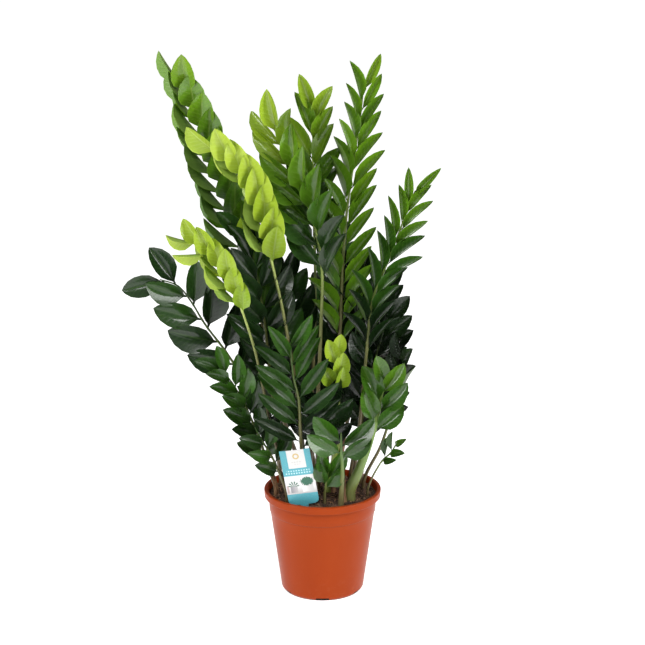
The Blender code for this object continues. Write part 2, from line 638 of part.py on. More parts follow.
def sheath_ring(rachis, distance, inside, open_angle, turn):
    """A C of points round the stem: out along the outer side and back along the inner one."""
    place, _, side, upper = rachis.at(distance)
    span = math.radians(360 - open_angle)
    angles = [math.radians(turn) - span / 2 + span * step / SHEATH_STEPS for step in range(SHEATH_STEPS + 1)]
    spokes = [math.cos(angle) * side + math.sin(angle) * upper for angle in angles]
    return ([place + (inside + SHEATH_THICKNESS) * spoke for spoke in spokes]
            + [place + inside * spoke for spoke in reversed(spokes)])


def sheath_rings(frond, rachis, height, open_angle, turn):
    rings = []
    count = 3 + round(height / SHEATH_RING_SPACING)
    for share in (step / count for step in range(count + 1)):
        distance = FOOT_DEPTH - SHEATH_FOOT + (height + SHEATH_FOOT) * share
        inside = stem_reach(frond) + SHEATH_GAP + SHEATH_FLARE * share ** 2
        opening = min(320, open_angle + 120 * share ** 3)
        rings.append(sheath_ring(rachis, distance, inside, opening, turn))
    return rings


def make_sheath(name, rings, collection, material):
    bm = bmesh.new()
    face = bm.faces.new([bm.verts.new(point) for point in rings[0]])
    for ring in rings[1:]:
        face = extrude_to(bm, face, ring)
    close_foot(bm)
    return add_object(name, bm, collection, material)


def main():
    clear_scene()
    parts = make_collection("potted_zz_plant")
    cutters = make_collection("cutters")
    make_pot(parts, cutters, make_material("terracotta_plastic", (0.52, 0.10, 0.035), 0.38))
    mix = make_mix(parts, make_material("potting_mix", (0.075, 0.035, 0.02), 0.95))
    label_solid("plant_label", 0.0, parts, make_material("label_card", (0.08, 0.42, 0.52), 0.3))
    cut(mix, as_cutter(label_solid("label_slot", CLEARANCE, cutters)))

    fronds = {frond.name: frond for frond in FRONDS}
    rachises = {frond.name: Rachis(frond) for frond in FRONDS}
    space = Space()
    for name, rachis in rachises.items():
        count = max(4, int(rachis.length / 0.02))
        rings = [rachis.ring(FOOT_DEPTH + (rachis.length - FOOT_DEPTH) * i / count) for i in range(count + 1)]
        space.add(rings, name)
    space.add(pot_walls())
    corners = [label_matrix() @ Vector((x, y, z)) for z in (0, LABEL_HEIGHT)
               for x, y in ((-LABEL_WIDTH / 2, -0.002), (LABEL_WIDTH / 2, -0.002),
                            (LABEL_WIDTH / 2, 0.002), (-LABEL_WIDTH / 2, 0.002))]
    space.add([corners[:4], corners[4:]])
    sheath_paper = make_material("sheath_paper", (0.33, 0.22, 0.10), 0.7)
    for name, frond_name, height, open_angle, turn in SHEATHS:
        rings = sheath_rings(fronds[frond_name], rachises[frond_name], height, open_angle, turn)
        make_sheath(name, rings, parts, sheath_paper)
        space.add(rings)
    for frond in FRONDS:
        grown = place_leaflets(frond, rachises[frond.name], space)
        material = make_material(frond.name + "_green", frond.colour, 0.32)
        grow_frond(frond, rachises[frond.name], grown, parts, material)
    # In a narrower pot the pockets of neighbouring feet run into each other, and are cut as one.
    cut(mix, foot_pockets(FRONDS, rachises, cutters)).use_self = True


main()
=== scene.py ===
"""The looks of the potted ZZ plant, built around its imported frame.

Every frond is one piece: its leaflets are copies of a few modelled ones, laid where the plant's growth
rule puts them, and joined to a tapering stem. The pot, the mix, the label and the sheaths each get a finely
made piece too.
"""

import json
import math
import random
from collections import namedtuple

import bmesh
import bpy
import numpy as np
from mathutils import Matrix, Vector
from mathutils.bvhtree import BVHTree

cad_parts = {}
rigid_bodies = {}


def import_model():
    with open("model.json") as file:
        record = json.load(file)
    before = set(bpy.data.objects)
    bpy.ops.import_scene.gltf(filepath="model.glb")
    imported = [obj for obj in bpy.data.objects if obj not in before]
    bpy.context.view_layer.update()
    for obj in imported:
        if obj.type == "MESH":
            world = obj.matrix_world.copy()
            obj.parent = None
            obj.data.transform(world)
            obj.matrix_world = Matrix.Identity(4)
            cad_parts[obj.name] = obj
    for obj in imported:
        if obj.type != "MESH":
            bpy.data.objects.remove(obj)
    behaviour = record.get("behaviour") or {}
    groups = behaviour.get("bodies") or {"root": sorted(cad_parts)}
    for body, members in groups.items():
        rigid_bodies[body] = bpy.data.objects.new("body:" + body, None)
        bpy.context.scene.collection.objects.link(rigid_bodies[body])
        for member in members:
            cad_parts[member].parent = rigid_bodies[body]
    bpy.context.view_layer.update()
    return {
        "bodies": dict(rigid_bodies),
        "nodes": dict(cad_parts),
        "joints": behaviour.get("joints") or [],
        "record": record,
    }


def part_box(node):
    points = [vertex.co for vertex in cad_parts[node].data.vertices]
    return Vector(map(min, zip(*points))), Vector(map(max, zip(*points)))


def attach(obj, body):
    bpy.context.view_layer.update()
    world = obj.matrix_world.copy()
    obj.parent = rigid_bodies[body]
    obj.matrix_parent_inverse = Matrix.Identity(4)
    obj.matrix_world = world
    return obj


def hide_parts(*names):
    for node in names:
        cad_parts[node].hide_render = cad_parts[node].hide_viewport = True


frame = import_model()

POT_HIGH = Vector(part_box("nursery_pot")[1])

# The pot's own measures, with the rim and the height taken from the frame.
POT_HEIGHT = POT_HIGH.z
RIM_RADIUS = POT_HIGH.x
RIM_DROP = 0.014
RIM_WIDTH = 0.0065
BAND_DROP = 0.040
BAND_STEP = 0.0015
BASE_RADIUS = 0.0745
CORNER_RADIUS = 0.008
WALL = 0.002
FLOOR_HEIGHT = 0.0075
FOOT_RING_WIDTH = 0.006
FOOT_PAD_RADIUS = 0.016
NOTCHES = 6
NOTCH_WIDTH = 0.024
NOTCH_HEIGHT = 0.0055
DRAIN_HOLE_RADIUS = 0.005
DRAIN_HOLE_CIRCLE = 0.043
CLEARANCE = 0.0003
MIX_BELOW_RIM = 0.010
MIX_MOUND = 0.006
MIX_TOP = POT_HEIGHT - MIX_BELOW_RIM
BAND_TOP_RADIUS = RIM_RADIUS - RIM_WIDTH - 0.001
BODY_INSET = 0.0035
BAND_INSIDE = 0.0045
POT_ROOM = 0.001
POT_STEPS = 128
NOTCH_LENGTH = 0.03
NOTCH_ROUNDING = 0.0016

# Rings start this far from the axis, and the small hole is then closed.
POLE = 0.0006
MERGE = 0.00002

# The mix's surface: the rings over it, the height of its lumps and grit, and what lies strewn on it.
MIX_STEPS = 144
MIX_RINGS = 36
MIX_SIDE_LEAN = 0.12
MIX_CHAMFER = 0.004
LUMP_HEIGHT = 0.0022
GRIT_HEIGHT = 0.0011
SURFACE_SINK = 0.0006
CRUMBS = 1500
CRUMB_SHAPES = 5
CRUMB_SIZES = (0.0007, 0.0030)
FIBRES = 260
FIBRE_THICKNESS = (0.00016, 0.0005)
FIBRE_LENGTH = (0.002, 0.0075)
FIBRE_LIFT = 0.0016
RIPPLES = ((61, 23, 0.4), (-37, 71, 1.9), (113, -87, 3.1), (-151, -59, 0.7), (209, 173, 2.2),
           (-97, 241, 4.0))

# The label.
LABEL_WIDTH = 0.054
LABEL_HEIGHT = 0.108
LABEL_THICKNESS = 0.0008
LABEL_CORNER = 0.012
STAKE_WIDTH = 0.014
STAKE_DEPTH = 0.048
STAKE_POINT_WIDTH = 0.004
STAKE_POINT_LENGTH = 0.012
LABEL_BOW = 0.0012
LABEL_ROOM = 0.002
LABEL_ACROSS = -0.33
LABEL_FROM_WALL = 0.001
LABEL_LIFT = 0.005
LABEL_ROLL = math.radians(9)
LABEL_TURN = math.radians(-4)

# How every frond grows, as in the frame.
FOOT_DEPTH = 0.032
FOOT_RISE = 0.012
FOOT_MARGIN = 0.0015
NODE_LENGTH = 0.004
TIP_RADIUS = 0.0011
STEM_TAPER = 0.8
STEM_FLAT = 0.8
LEAFLET_STATIONS = ((0.08, 0.10), (0.38, 0.90), (0.72, 0.86), (1.0, 0.0))
LEAFLET_CUP = 0.16
LEAFLET_ARCH = -0.10
LEAFLET_SCALE = 1.0
LEAFLET_ROOM = 0.0012
TURNS = [(0, 0), (0, 14), (0, -14), (10, 0), (-10, 0), (0, 28), (12, 14), (-12, 14), (0, -28),
         (20, 0), (-18, 0), (0, 42), (20, 28), (-20, 28), (0, -42), (30, 0), (30, 40), (0, 58)]
SIZES = (1.0, 0.88, 0.74, 0.6, 0.46, 0.34)
SHEATH_THICKNESS = 0.0010
SHEATH_STEPS = 5
SHEATH_FLARE = 0.0015
SHEATH_FOOT = 0.015
SHEATH_GAP = 0.0010
SHEATH_RING_SPACING = 0.025
SHEATH_PAPER = 0.0006
SHEATH_COLUMNS = 14
SHEATH_ROWS = 22

# foot: x and y as shares of how far out a foot may stand. route: points above the mix's edge.
# first and pitch: where the leaflets begin along the route, and their spacing on one side.
# leaf: length and width. facing: azimuth and elevation that the upper side looks to.
# ascent, lift, roll: a leaflet's angle from the rachis, out of the frond's plane, and about itself.
Frond = namedtuple("Frond", "name foot route girth first pitch leaf facing ascent lift roll slot")

FRONDS = [
    Frond("frond_tall_left", (-0.43, 0.54),
          [(-0.070, 0.055, 0.12), (-0.101, 0.055, 0.27), (-0.135, 0.045, 0.415), (-0.165, 0.035, 0.515),
           (-0.203, 0.015, 0.64), (-0.232, 0.00, 0.725), (-0.246, -0.005, 0.758)],
          0.0045, 0.33, 0.035, (0.090, 0.050), (-128, 5), 36, 16, -44, "fresh_leaf"),
    Frond("frond_lime_arching", (-0.36, 0.15),
          [(-0.044, 0.01, 0.17), (-0.066, 0.00, 0.32), (-0.086, -0.01, 0.42), (-0.104, -0.02, 0.50),
           (-0.124, -0.03, 0.565), (-0.155, -0.045, 0.612), (-0.186, -0.055, 0.635)],
          0.0040, 0.430, 0.033, (0.090, 0.044), (-128, -5), 28, 16, -38, "lime_leaf"),
    Frond("frond_lime_small", (-0.71, -0.34),
          [(-0.089, -0.05, 0.135), (-0.113, -0.07, 0.27), (-0.131, -0.08, 0.34), (-0.150, -0.087, 0.395),
           (-0.184, -0.09, 0.455), (-0.212, -0.09, 0.483), (-0.230, -0.09, 0.50)],
          0.0034, 0.370, 0.027, (0.068, 0.034), (-128, -5), 24, 12, -32, "lime_leaf"),
    Frond("frond_dark_far_left", (-0.71, 0.24),
          [(-0.091, 0.02, 0.093), (-0.129, 0.015, 0.185), (-0.167, 0.01, 0.255), (-0.206, 0.01, 0.31),
           (-0.229, 0.005, 0.352), (-0.252, 0.00, 0.384), (-0.284, 0.00, 0.396)],
          0.0036, 0.235, 0.050, (0.092, 0.048), (-84, 14), 42, 18, -10, "dark_leaf"),
    Frond("frond_low_left", (-0.98, -0.17),
          [(-0.099, -0.03, 0.065), (-0.110, -0.04, 0.114), (-0.124, -0.045, 0.151), (-0.138, -0.05, 0.186),
           (-0.159, -0.06, 0.228), (-0.180, -0.065, 0.256)],
          0.0034, 0.08, 0.030, (0.066, 0.029), (-75, 25), 38, 22, 20, "dark_leaf"),
    Frond("frond_centre_front", (-0.36, -0.54),
          [(-0.038, -0.07, 0.124), (-0.041, -0.09, 0.202), (-0.050, -0.10, 0.249), (-0.054, -0.112, 0.298),
           (-0.055, -0.12, 0.315)],
          0.0040, 0.105, 0.034, (0.100, 0.026), (-90, 20), 40, 16, 26, "dark_leaf"),
    Frond("frond_low_front", (0.39, -0.82),
          [(0.035, -0.082, 0.062), (0.033, -0.098, 0.112), (0.032, -0.106, 0.150)],
          0.0050, 0.100, 0.024, (0.076, 0.036), (-90, 30), 46, 18, 8, "dark_leaf"),
    Frond("frond_centre_left", (-0.10, 0.02),
          [(-0.008, 0.00, 0.175), (-0.003, 0.00, 0.304), (-0.001, 0.00, 0.42), (-0.018, -0.005, 0.508),
           (-0.047, -0.01, 0.584), (-0.074, -0.01, 0.647), (-0.088, -0.01, 0.672)],
          0.0046, 0.395, 0.038, (0.100, 0.034), (-118, 10), 31, 20, 12, "green_leaf"),
    Frond("frond_centre_tall", (-0.26, 0.45),
          [(-0.019, 0.045, 0.162), (-0.013, 0.05, 0.347), (-0.015, 0.05, 0.492), (-0.017, 0.045, 0.604),
           (-0.015, 0.04, 0.680), (-0.013, 0.035, 0.705)],
          0.0042, 0.42, 0.040, (0.092, 0.028), (-95, 10), 28, 18, 28, "fresh_leaf"),
    Frond("frond_right_tall", (0.21, 0.39),
          [(0.028, 0.045, 0.162), (0.033, 0.045, 0.347), (0.041, 0.035, 0.494), (0.055, 0.03, 0.607),
           (0.065, 0.03, 0.678), (0.071, 0.03, 0.735)],
          0.0046, 0.265, 0.035, (0.092, 0.020), (-78, 10), 31, 18, 38, "green_leaf"),
    Frond("frond_right_arching", (0.66, 0.13),
          [(0.069, 0.005, 0.156), (0.078, -0.012, 0.272), (0.086, -0.025, 0.36), (0.110, -0.033, 0.430),
           (0.133, -0.04, 0.494), (0.148, -0.045, 0.540), (0.158, -0.05, 0.565)],
          0.0038, 0.27, 0.033, (0.084, 0.018), (-92, 15), 27, 18, 40, "green_leaf"),
    Frond("frond_dark_right", (0.86, 0.17),
          [(0.103, 0.01, 0.081), (0.120, 0.01, 0.132), (0.138, 0.00, 0.180), (0.144, 0.00, 0.231),
           (0.144, 0.00, 0.262)],
          0.0036, 0.14, 0.034, (0.064, 0.028), (-140, 20), 32, 24, 15, "blackish_leaf"),
    Frond("frond_low_right", (0.92, -0.26),
          [(0.102, -0.03, 0.065), (0.121, -0.04, 0.090), (0.131, -0.045, 0.110)],
          0.0022, 0.075, 0.020, (0.040, 0.014), (-110, 40), 34, 20, 0, "dark_leaf"),
    Frond("frond_stout_front", (0.62, -0.56),
          [(0.060, -0.049, 0.050), (0.080, -0.050, 0.105), (0.097, -0.046, 0.165), (0.108, -0.045, 0.225)],
          0.0115, 0.140, 0.034, (0.074, 0.036), (-80, 20), 32, 24, 10, "green_leaf"),
    Frond("frond_young_shoot", (0.15, -0.12),
          [(0.029, -0.040, 0.110), (0.027, -0.058, 0.184), (0.024, -0.066, 0.245), (0.023, -0.070, 0.285)],
          0.0085, 0.214, 0.021, (0.050, 0.028), (-85, 5), 15, 24, 0, "lime_leaf"),
    Frond("frond_black_right", (0.60, 0.62),
          [(0.071, 0.055, 0.12), (0.090, 0.045, 0.218), (0.106, 0.035, 0.285), (0.116, 0.03, 0.325)],
          0.0040, 0.10, 0.036, (0.088, 0.036), (-100, 20), 38, 22, 10, "blackish_leaf"),
    Frond("frond_dark_left", (-0.66, 0.60),
          [(-0.088, 0.034, 0.165), (-0.101, 0.015, 0.301), (-0.113, 0.003, 0.395), (-0.128, -0.005, 0.455),
           (-0.138, -0.01, 0.49)],
          0.0040, 0.14, 0.040, (0.094, 0.036), (-75, 15), 38, 24, 10, "dark_leaf"),
    Frond("frond_dark_back_left", (-0.15, 0.81),
          [(-0.044, 0.075, 0.152), (-0.058, 0.065, 0.287), (-0.067, 0.05, 0.364), (-0.070, 0.04, 0.41)],
          0.0040, 0.10, 0.040, (0.092, 0.036), (-85, 15), 38, 22, 10, "dark_leaf"),
    Frond("frond_dark_back_right", (0.30, 0.81),
          [(0.050, 0.075, 0.133), (0.062, 0.075, 0.247), (0.060, 0.065, 0.345), (0.054, 0.055, 0.40)],
          0.0040, 0.10, 0.038, (0.090, 0.036), (-95, 15), 38, 22, 10, "blackish_leaf"),
    Frond("frond_back_centre", (0.10, 0.985),
          [(0.012, 0.118, 0.12), (0.020, 0.148, 0.24), (0.026, 0.182, 0.34), (0.030, 0.208, 0.41)],
          0.0040, 0.10, 0.038, (0.086, 0.038), (-90, 50), 38, 24, 5, "dark_leaf"),
    Frond("frond_back_right", (0.82, 0.50),
          [(0.090, 0.090, 0.10), (0.102, 0.122, 0.20), (0.112, 0.152, 0.29), (0.118, 0.172, 0.34)],
          0.0038, 0.09, 0.036, (0.082, 0.036), (-120, 45), 38, 24, 5, "dark_leaf"),
    Frond("frond_back_left", (-0.88, 0.44),
          [(-0.094, 0.085, 0.10), (-0.110, 0.122, 0.21), (-0.122, 0.155, 0.31), (-0.128, 0.178, 0.37)],
          0.0038, 0.09, 0.036, (0.082, 0.036), (-60, 45), 38, 24, 5, "dark_leaf"),
    Frond("frond_dark_low_centre", (-0.17, -0.28),
          [(-0.006, -0.040, 0.095), (-0.006, -0.052, 0.160), (-0.010, -0.060, 0.205)],
          0.0036, 0.100, 0.034, (0.080, 0.032), (-90, 15), 38, 20, 10, "blackish_leaf"),
    Frond("frond_small_left", (-0.73, -0.62),
          [(-0.084, -0.062, 0.079), (-0.103, -0.07, 0.118), (-0.118, -0.072, 0.148)],
          0.0030, 0.050, 0.030, (0.060, 0.026), (-80, 30), 42, 20, 10, "dark_leaf"),
    Frond("frond_small_front", (0.04, -0.71),
          [(0.007, -0.070, 0.045), (0.012, -0.078, 0.075)],
          0.0028, 0.030, 0.020, (0.056, 0.026), (-85, 10), 24, 14, 0, "dark_leaf"),
]

# Papery sheaths round a petiole's foot: name, frond, height, open angle, and the turn of its middle.
SHEATHS = [
    ("sheath_young_shoot", "frond_young_shoot", 0.165, 200, 0),
    ("sheath_low_left", "frond_low_left", 0.075, 220, 60),
    ("sheath_stout_front", "frond_stout_front", 0.045, 230, 180),
]

# Each frond's age at its foot and at its tip, from 0 for old and nearly black to 1 for new and lime.
YOUTH = {
    "frond_tall_left": (0.38, 0.64), "frond_lime_arching": (0.84, 0.98), "frond_lime_small": (0.80, 0.96),
    "frond_dark_far_left": (0.10, 0.20), "frond_low_left": (0.18, 0.28), "frond_centre_front": (0.14, 0.30),
    "frond_low_front": (0.20, 0.34), "frond_centre_left": (0.16, 0.92), "frond_centre_tall": (0.30, 0.86),
    "frond_right_tall": (0.50, 0.60), "frond_right_arching": (0.10, 0.66), "frond_dark_right": (0.04, 0.12),
    "frond_low_right": (0.30, 0.38), "frond_stout_front": (0.30, 0.46), "frond_young_shoot": (0.80, 0.88),
    "frond_black_right": (0.01, 0.06), "frond_dark_left": (0.08, 0.16), "frond_dark_back_left": (0.06, 0.14),
    "frond_dark_back_right": (0.02, 0.09), "frond_back_centre": (0.10, 0.20),
    "frond_back_right": (0.08, 0.18), "frond_back_left": (0.08, 0.18),
    "frond_dark_low_centre": (0.03, 0.08), "frond_small_left": (0.16, 0.24),
    "frond_small_front": (0.30, 0.40),
}
LEAF_GREENS = [(0.0, (0.0035, 0.008, 0.003)), (0.14, (0.008, 0.026, 0.005)), (0.36, (0.032, 0.105, 0.006)),
               (0.64, (0.115, 0.25, 0.008)), (0.86, (0.30, 0.43, 0.022)), (1.0, (0.43, 0.56, 0.055))]
RIB_GREENS = [(0.0, (0.010, 0.025, 0.008)), (0.3, (0.06, 0.13, 0.02)), (0.65, (0.28, 0.42, 0.07)),
              (1.0, (0.60, 0.74, 0.18))]
UNDERSIDE_GREENS = [(0.0, (0.07, 0.11, 0.04)), (0.4, (0.14, 0.22, 0.06)), (1.0, (0.42, 0.60, 0.15))]
STEM_COLOURS = [(0.0, (0.085, 0.052, 0.024)), (0.30, (0.105, 0.085, 0.032)), (0.62, (0.13, 0.14, 0.036)),
                (1.0, (0.19, 0.27, 0.04))]
MIX_COLOURS = [(0.22, (0.018, 0.009, 0.005)), (0.48, (0.075, 0.038, 0.022)), (0.70, (0.17, 0.095, 0.055)),
               (0.9, (0.30, 0.19, 0.12))]
FIBRE_COLOURS = [(0.2, (0.07, 0.032, 0.016)), (0.5, (0.20, 0.095, 0.045)), (0.8, (0.40, 0.23, 0.12))]
SHEATH_COLOURS = [(0.30, (0.07, 0.032, 0.018)), (0.48, (0.20, 0.10, 0.048)), (0.62, (0.36, 0.22, 0.10)),
                  (0.8, (0.50, 0.35, 0.17))]

# The youngest petioles are green from the mix up.
GREEN_PETIOLES = {"frond_stout_front": 0.40, "frond_young_shoot": 0.60, "frond_low_front": 0.15}

# Each leaf finish's roughness, coat and share of light let through.
LEAF_LOOKS = {"lime_leaf": (0.36, 0.35, 0.22), "fresh_leaf": (0.30, 0.60, 0.16),
              "green_leaf": (0.29, 0.65, 0.12), "dark_leaf": (0.31, 0.52, 0.06),
              "blackish_leaf": (0.28, 0.60, 0.03)}

# A blade's rows: shares of its length, with their shares of its width.
BLADE_STATIONS = ((0.0, 0.05), (0.08, 0.11), (0.19, 0.46), (0.34, 0.86), (0.52, 1.0), (0.69, 0.95),
                  (0.84, 0.73), (0.95, 0.34), (1.0, 0.01))
BLADE_THICKNESS = 0.008
BLADE_COLUMNS = 4
BLADE_SHAPES = 9

# The label's print, as boxes in shares of its width and height: the lower left corner and the upper right.
PRINT_SOFTNESS = 0.006
PANEL_BOX = ((0.22, 0.67), (0.80, 1.1))
GREY_ROW_BOXES = (((0.34, 0.775), (0.68, 0.79)), ((0.40, 0.735), (0.62, 0.745)))
PALE_ROW_BOXES = (((0.12, 0.613), (0.88, 0.635)), ((0.08, 0.567), (0.92, 0.592)))
PICTURE_BOX = ((-0.1, 0.20), (1.1, 0.535))
ORNAMENT_BOX = ((0.03, 0.225), (0.10, 0.36))
LEFT_POT_BOX = ((0.15, 0.225), (0.38, 0.345))
RIGHT_POT_BOX = ((0.54, 0.225), (0.90, 0.375))

# The studio.
CAMERA_PLACE = (0.0, -3.4, 1.46)
CAMERA_PITCH = 15.8
CAMERA_LENS = 112.2
CAMERA_SENSOR = 36
SKY_LOW = 0.08
SKY_HIGH = 0.46
FLOOR_SIZE = 80
FLOOR_GLOW = 0.74
SOFTBOX_POWER = 60
SOFTBOX_TARGET = (0, 0, 0.5)

# Each softbox's name, place, size and power.
SOFTBOXES = [
    ("left_softbox", (-2.2, -1.6, 1.6), (0.7, 2.4), SOFTBOX_POWER),
    ("right_softbox", (2.3, -1.2, 1.5), (0.7, 2.4), SOFTBOX_POWER),
    ("front_softbox", (0.3, -3.2, 2.9), (1.6, 0.6), SOFTBOX_POWER * 0.8),
]

# What a leaflet needs to be laid: its place on the stem, its directions and its size.
Leaflet = namedtuple("Leaflet", "distance share base out upper length width")


# The growth rule, as in the frame.

def outer_radius(height):
    """The body's outer radius below the band, which tapers in a straight line to the base."""
    top = POT_HEIGHT - BAND_DROP
    share = (height - CORNER_RADIUS) / (top - CORNER_RADIUS)
    return BASE_RADIUS + (BAND_TOP_RADIUS - BODY_INSET - BASE_RADIUS) * share


def inner_radius(height):
    return outer_radius(height) - WALL


def wall_lean():
    """How far the pot's wall leans outwards, as an angle from upright."""
    rise = POT_HEIGHT - BAND_DROP
    return math.atan((outer_radius(rise) - outer_radius(0.0)) / rise)


def pot_walls():
    """Rough rings over the rim and the mix, which leaflets keep clear of."""
    inside = inner_radius(MIX_TOP) - POT_ROOM
    outside = RIM_RADIUS + POT_ROOM
    low = 0.1
    outline = ((outer_radius(low) + POT_ROOM, low), (outside, POT_HEIGHT - RIM_DROP - 2 * POT_ROOM),
               (outside, POT_HEIGHT + POT_ROOM), (inside, POT_HEIGHT + POT_ROOM),
               (inside, mix_height(inside) + POT_ROOM), (0.001, mix_height(0) + 2 * POT_ROOM))
    spokes = [math.tau * step / 32 for step in range(32)]
    return [[Vector((radius * math.cos(turn), radius * math.sin(turn), height)) for turn in spokes]
            for radius, height in outline]


def mix_height(radius):
    share = min(1.0, radius / inner_radius(MIX_TOP))
    return MIX_TOP + MIX_MOUND * (1 - share * share)


def label_matrix():
    """The label is pushed into the mix along the pot's wall."""
    radius = inner_radius(MIX_TOP)
    x = LABEL_ACROSS * radius
    corner = abs(x) + LABEL_WIDTH / 2 * math.cos(LABEL_ROLL)
    y = LABEL_FROM_WALL - math.sqrt(radius ** 2 - corner ** 2)
    place = Matrix.Translation((x, y, mix_height(math.hypot(x, y)) + LABEL_LIFT))
    return (place @ Matrix.Rotation(LABEL_TURN, 4, "Z") @ Matrix.Rotation(wall_lean(), 4, "X")
            @ Matrix.Rotation(-LABEL_ROLL, 4, "Y"))


def smooth_route(points, steps=12):
    """Points along a Catmull-Rom curve through the given ones, which starts straight up."""
    below = points[0] - Vector((0, 0, (points[1] - points[0]).length))
    points = [below] + points + [2 * points[-1] - points[-2]]
    route = []
    for a, b, c, d in zip(points, points[1:], points[2:], points[3:]):
        for step in range(steps):
            t = step / steps
            route.append(0.5 * (2 * b + (c - a) * t + (2 * a - 5 * b + 4 * c - d) * t * t
                                + (3 * b - a - 3 * c + d) * t ** 3))
    return route + [points[-2]]


def stem_reach(frond):
    """The distance from a stem's middle to its corners at the foot."""
    return frond.girth * STEM_FLAT * math.sqrt(2)


def foot_reach(frond):
    """How far from the pot's axis a foot may stand and still have mix all round it."""
    return inner_radius(MIX_TOP - FOOT_DEPTH) - stem_reach(frond) / math.cos(math.pi / 8) - FOOT_MARGIN


class Rachis:
    """A frond's route with the frame at any distance along it: tangent, side and upper face."""

    def __init__(self, frond):
        reach = foot_reach(frond)
        x, y = frond.foot[0] * reach, frond.foot[1] * reach
        surface = mix_height(math.hypot(x, y))
        foot = Vector((x, y, surface - FOOT_DEPTH))
        above = [Vector((px, py, MIX_TOP + pz)) for px, py, pz in frond.route]
        self.points = [foot] + smooth_route([Vector((x, y, surface + FOOT_RISE))] + above)
        self.marks = [0.0]
        for a, b in zip(self.points, self.points[1:]):
            self.marks.append(self.marks[-1] + (b - a).length)
        azimuth, elevation = (math.radians(angle) for angle in frond.facing)
        self.facing = Vector((math.cos(azimuth) * math.cos(elevation),
                              math.sin(azimuth) * math.cos(elevation), math.sin(elevation)))
        self.girth = frond.girth
        self.length = self.marks[-1]

    def at(self, distance):
        index = max(i for i, mark in enumerate(self.marks[:-1]) if mark <= max(distance, 0.0))
        a, b = self.points[index], self.points[index + 1]
        place = a.lerp(b, (distance - self.marks[index]) / (self.marks[index + 1] - self.marks[index]))
        ahead = self.points[min(index + 2, len(self.points) - 1)]
        tangent = ((b - a).normalized() + (ahead - a).normalized()).normalized()
        upper = (self.facing - self.facing.dot(tangent) * tangent).normalized()
        return place, tangent, tangent.cross(upper), upper

    def radius(self, distance):
        share = max(0.0, min(1.0, (distance - FOOT_DEPTH) / (self.length - FOOT_DEPTH)))
        return TIP_RADIUS + (self.girth - TIP_RADIUS) * (1 - share) ** STEM_TAPER

    def ring(self, distance):
        """Four corners round the stem, with a flat towards each rank of leaflets."""
        place, _, side, upper = self.at(distance)
        reach = self.radius(distance) * STEM_FLAT
        return [place + reach * (x * side + y * upper) for x, y in ((1, 1), (-1, 1), (-1, -1), (1, -1))]


def leaflet_rings(base, out, upper, length, width, thickness):
    """The sections of a leaflet from its stalk to its tip: low edge, underside, high edge, top."""
    across = out.cross(upper)
    rings = []
    for station, share in LEAFLET_STATIONS:
        half = width / 2 * share
        middle = base + length * (station * out + LEAFLET_ARCH * station * station * upper)
        cup = LEAFLET_CUP * half * upper
        deep = thickness / 2 * min(1.0, 4 * (1.0 - station)) * upper
        rings.append([middle - across * half + cup, middle - deep,
                      middle + across * half + cup, middle + deep])
    return rings


def leaflet_frame(frame, hand, ascent, lift, roll):
    """The leaflet's direction and upper side. hand is 1 on the frond's right rank and -1 on its left."""
    _, tangent, side, upper = frame
    ascent, lift, roll = math.radians(ascent), math.radians(lift), math.radians(roll)
    spread = math.cos(lift) * hand * side + math.sin(lift) * upper
    out = (math.cos(ascent) * tangent + math.sin(ascent) * spread).normalized()
    level = (upper - upper.dot(out) * out).normalized()
    tipward = tangent - tangent.dot(out) * out
    tipward = (tipward - tipward.dot(level) * level).normalized()
    return out, (math.cos(roll) * level + math.sin(roll) * tipward).normalized()


def rings_tree(rings):
    """A search tree of the walls between one section and the next."""
    verts = [point for ring in rings for point in ring]
    size = len(rings[0])
    faces = [(size * i + k, size * i + (k + 1) % size, size * (i + 1) + (k + 1) % size, size * (i + 1) + k)
             for i in range(len(rings) - 1) for k in range(size)]
    return BVHTree.FromPolygons(verts, faces)


def corners_of(rings):
    points = [point for ring in rings for point in ring]
    low = [min(point[axis] for point in points) for axis in range(3)]
    return low, [max(point[axis] for point in points) for axis in range(3)]


class Space:
    """What already stands in the plant's space, so that a new leaflet can grow clear of it."""

    def __init__(self):
        self.taken = []

    def add(self, rings, owner=""):
        self.taken.append((rings_tree(rings), *corners_of(rings), owner))

    def is_free(self, rings, owner):
        """A leaflet's stalk may touch its own stem, and nothing else."""
        low, high = corners_of(rings)
        tree, blade = rings_tree(rings), rings_tree(rings[1:])
        for other, other_low, other_high, other_owner in self.taken:
            if any(low[axis] > other_high[axis] or high[axis] < other_low[axis] for axis in range(3)):
                continue
            if (blade if other_owner == owner else tree).overlap(other):
                return False
        return True


def leaflet_places(frond, rachis):
    """Where the leaflets leave the rachis: distance, hand, and share of the way to the tip."""
    places = []
    first = frond.first + FOOT_DEPTH
    count = max(1, int((rachis.length - first - 0.008) / frond.pitch))
    for index in range(count + 1):
        for hand in (1, -1):
            distance = first + index * frond.pitch + (0.38 * frond.pitch if hand < 0 else 0.0)
            if distance < rachis.length - 2 * NODE_LENGTH:
                places.append((distance, hand, (distance - first) / (rachis.length - first)))
    return places


def leaflet_size(frond, share, chance):
    """Leaflets are largest below the middle of the rachis and smaller towards both ends."""
    grow = 0.84 + 0.16 * math.sin(math.pi * min(1.0, 0.15 + share)) - 0.05 * share ** 3
    length = frond.leaf[0] * LEAFLET_SCALE * grow * chance.uniform(0.94, 1.06)
    width = frond.leaf[1] * LEAFLET_SCALE * (grow + 0.06) * chance.uniform(0.92, 1.06)
    return length, width


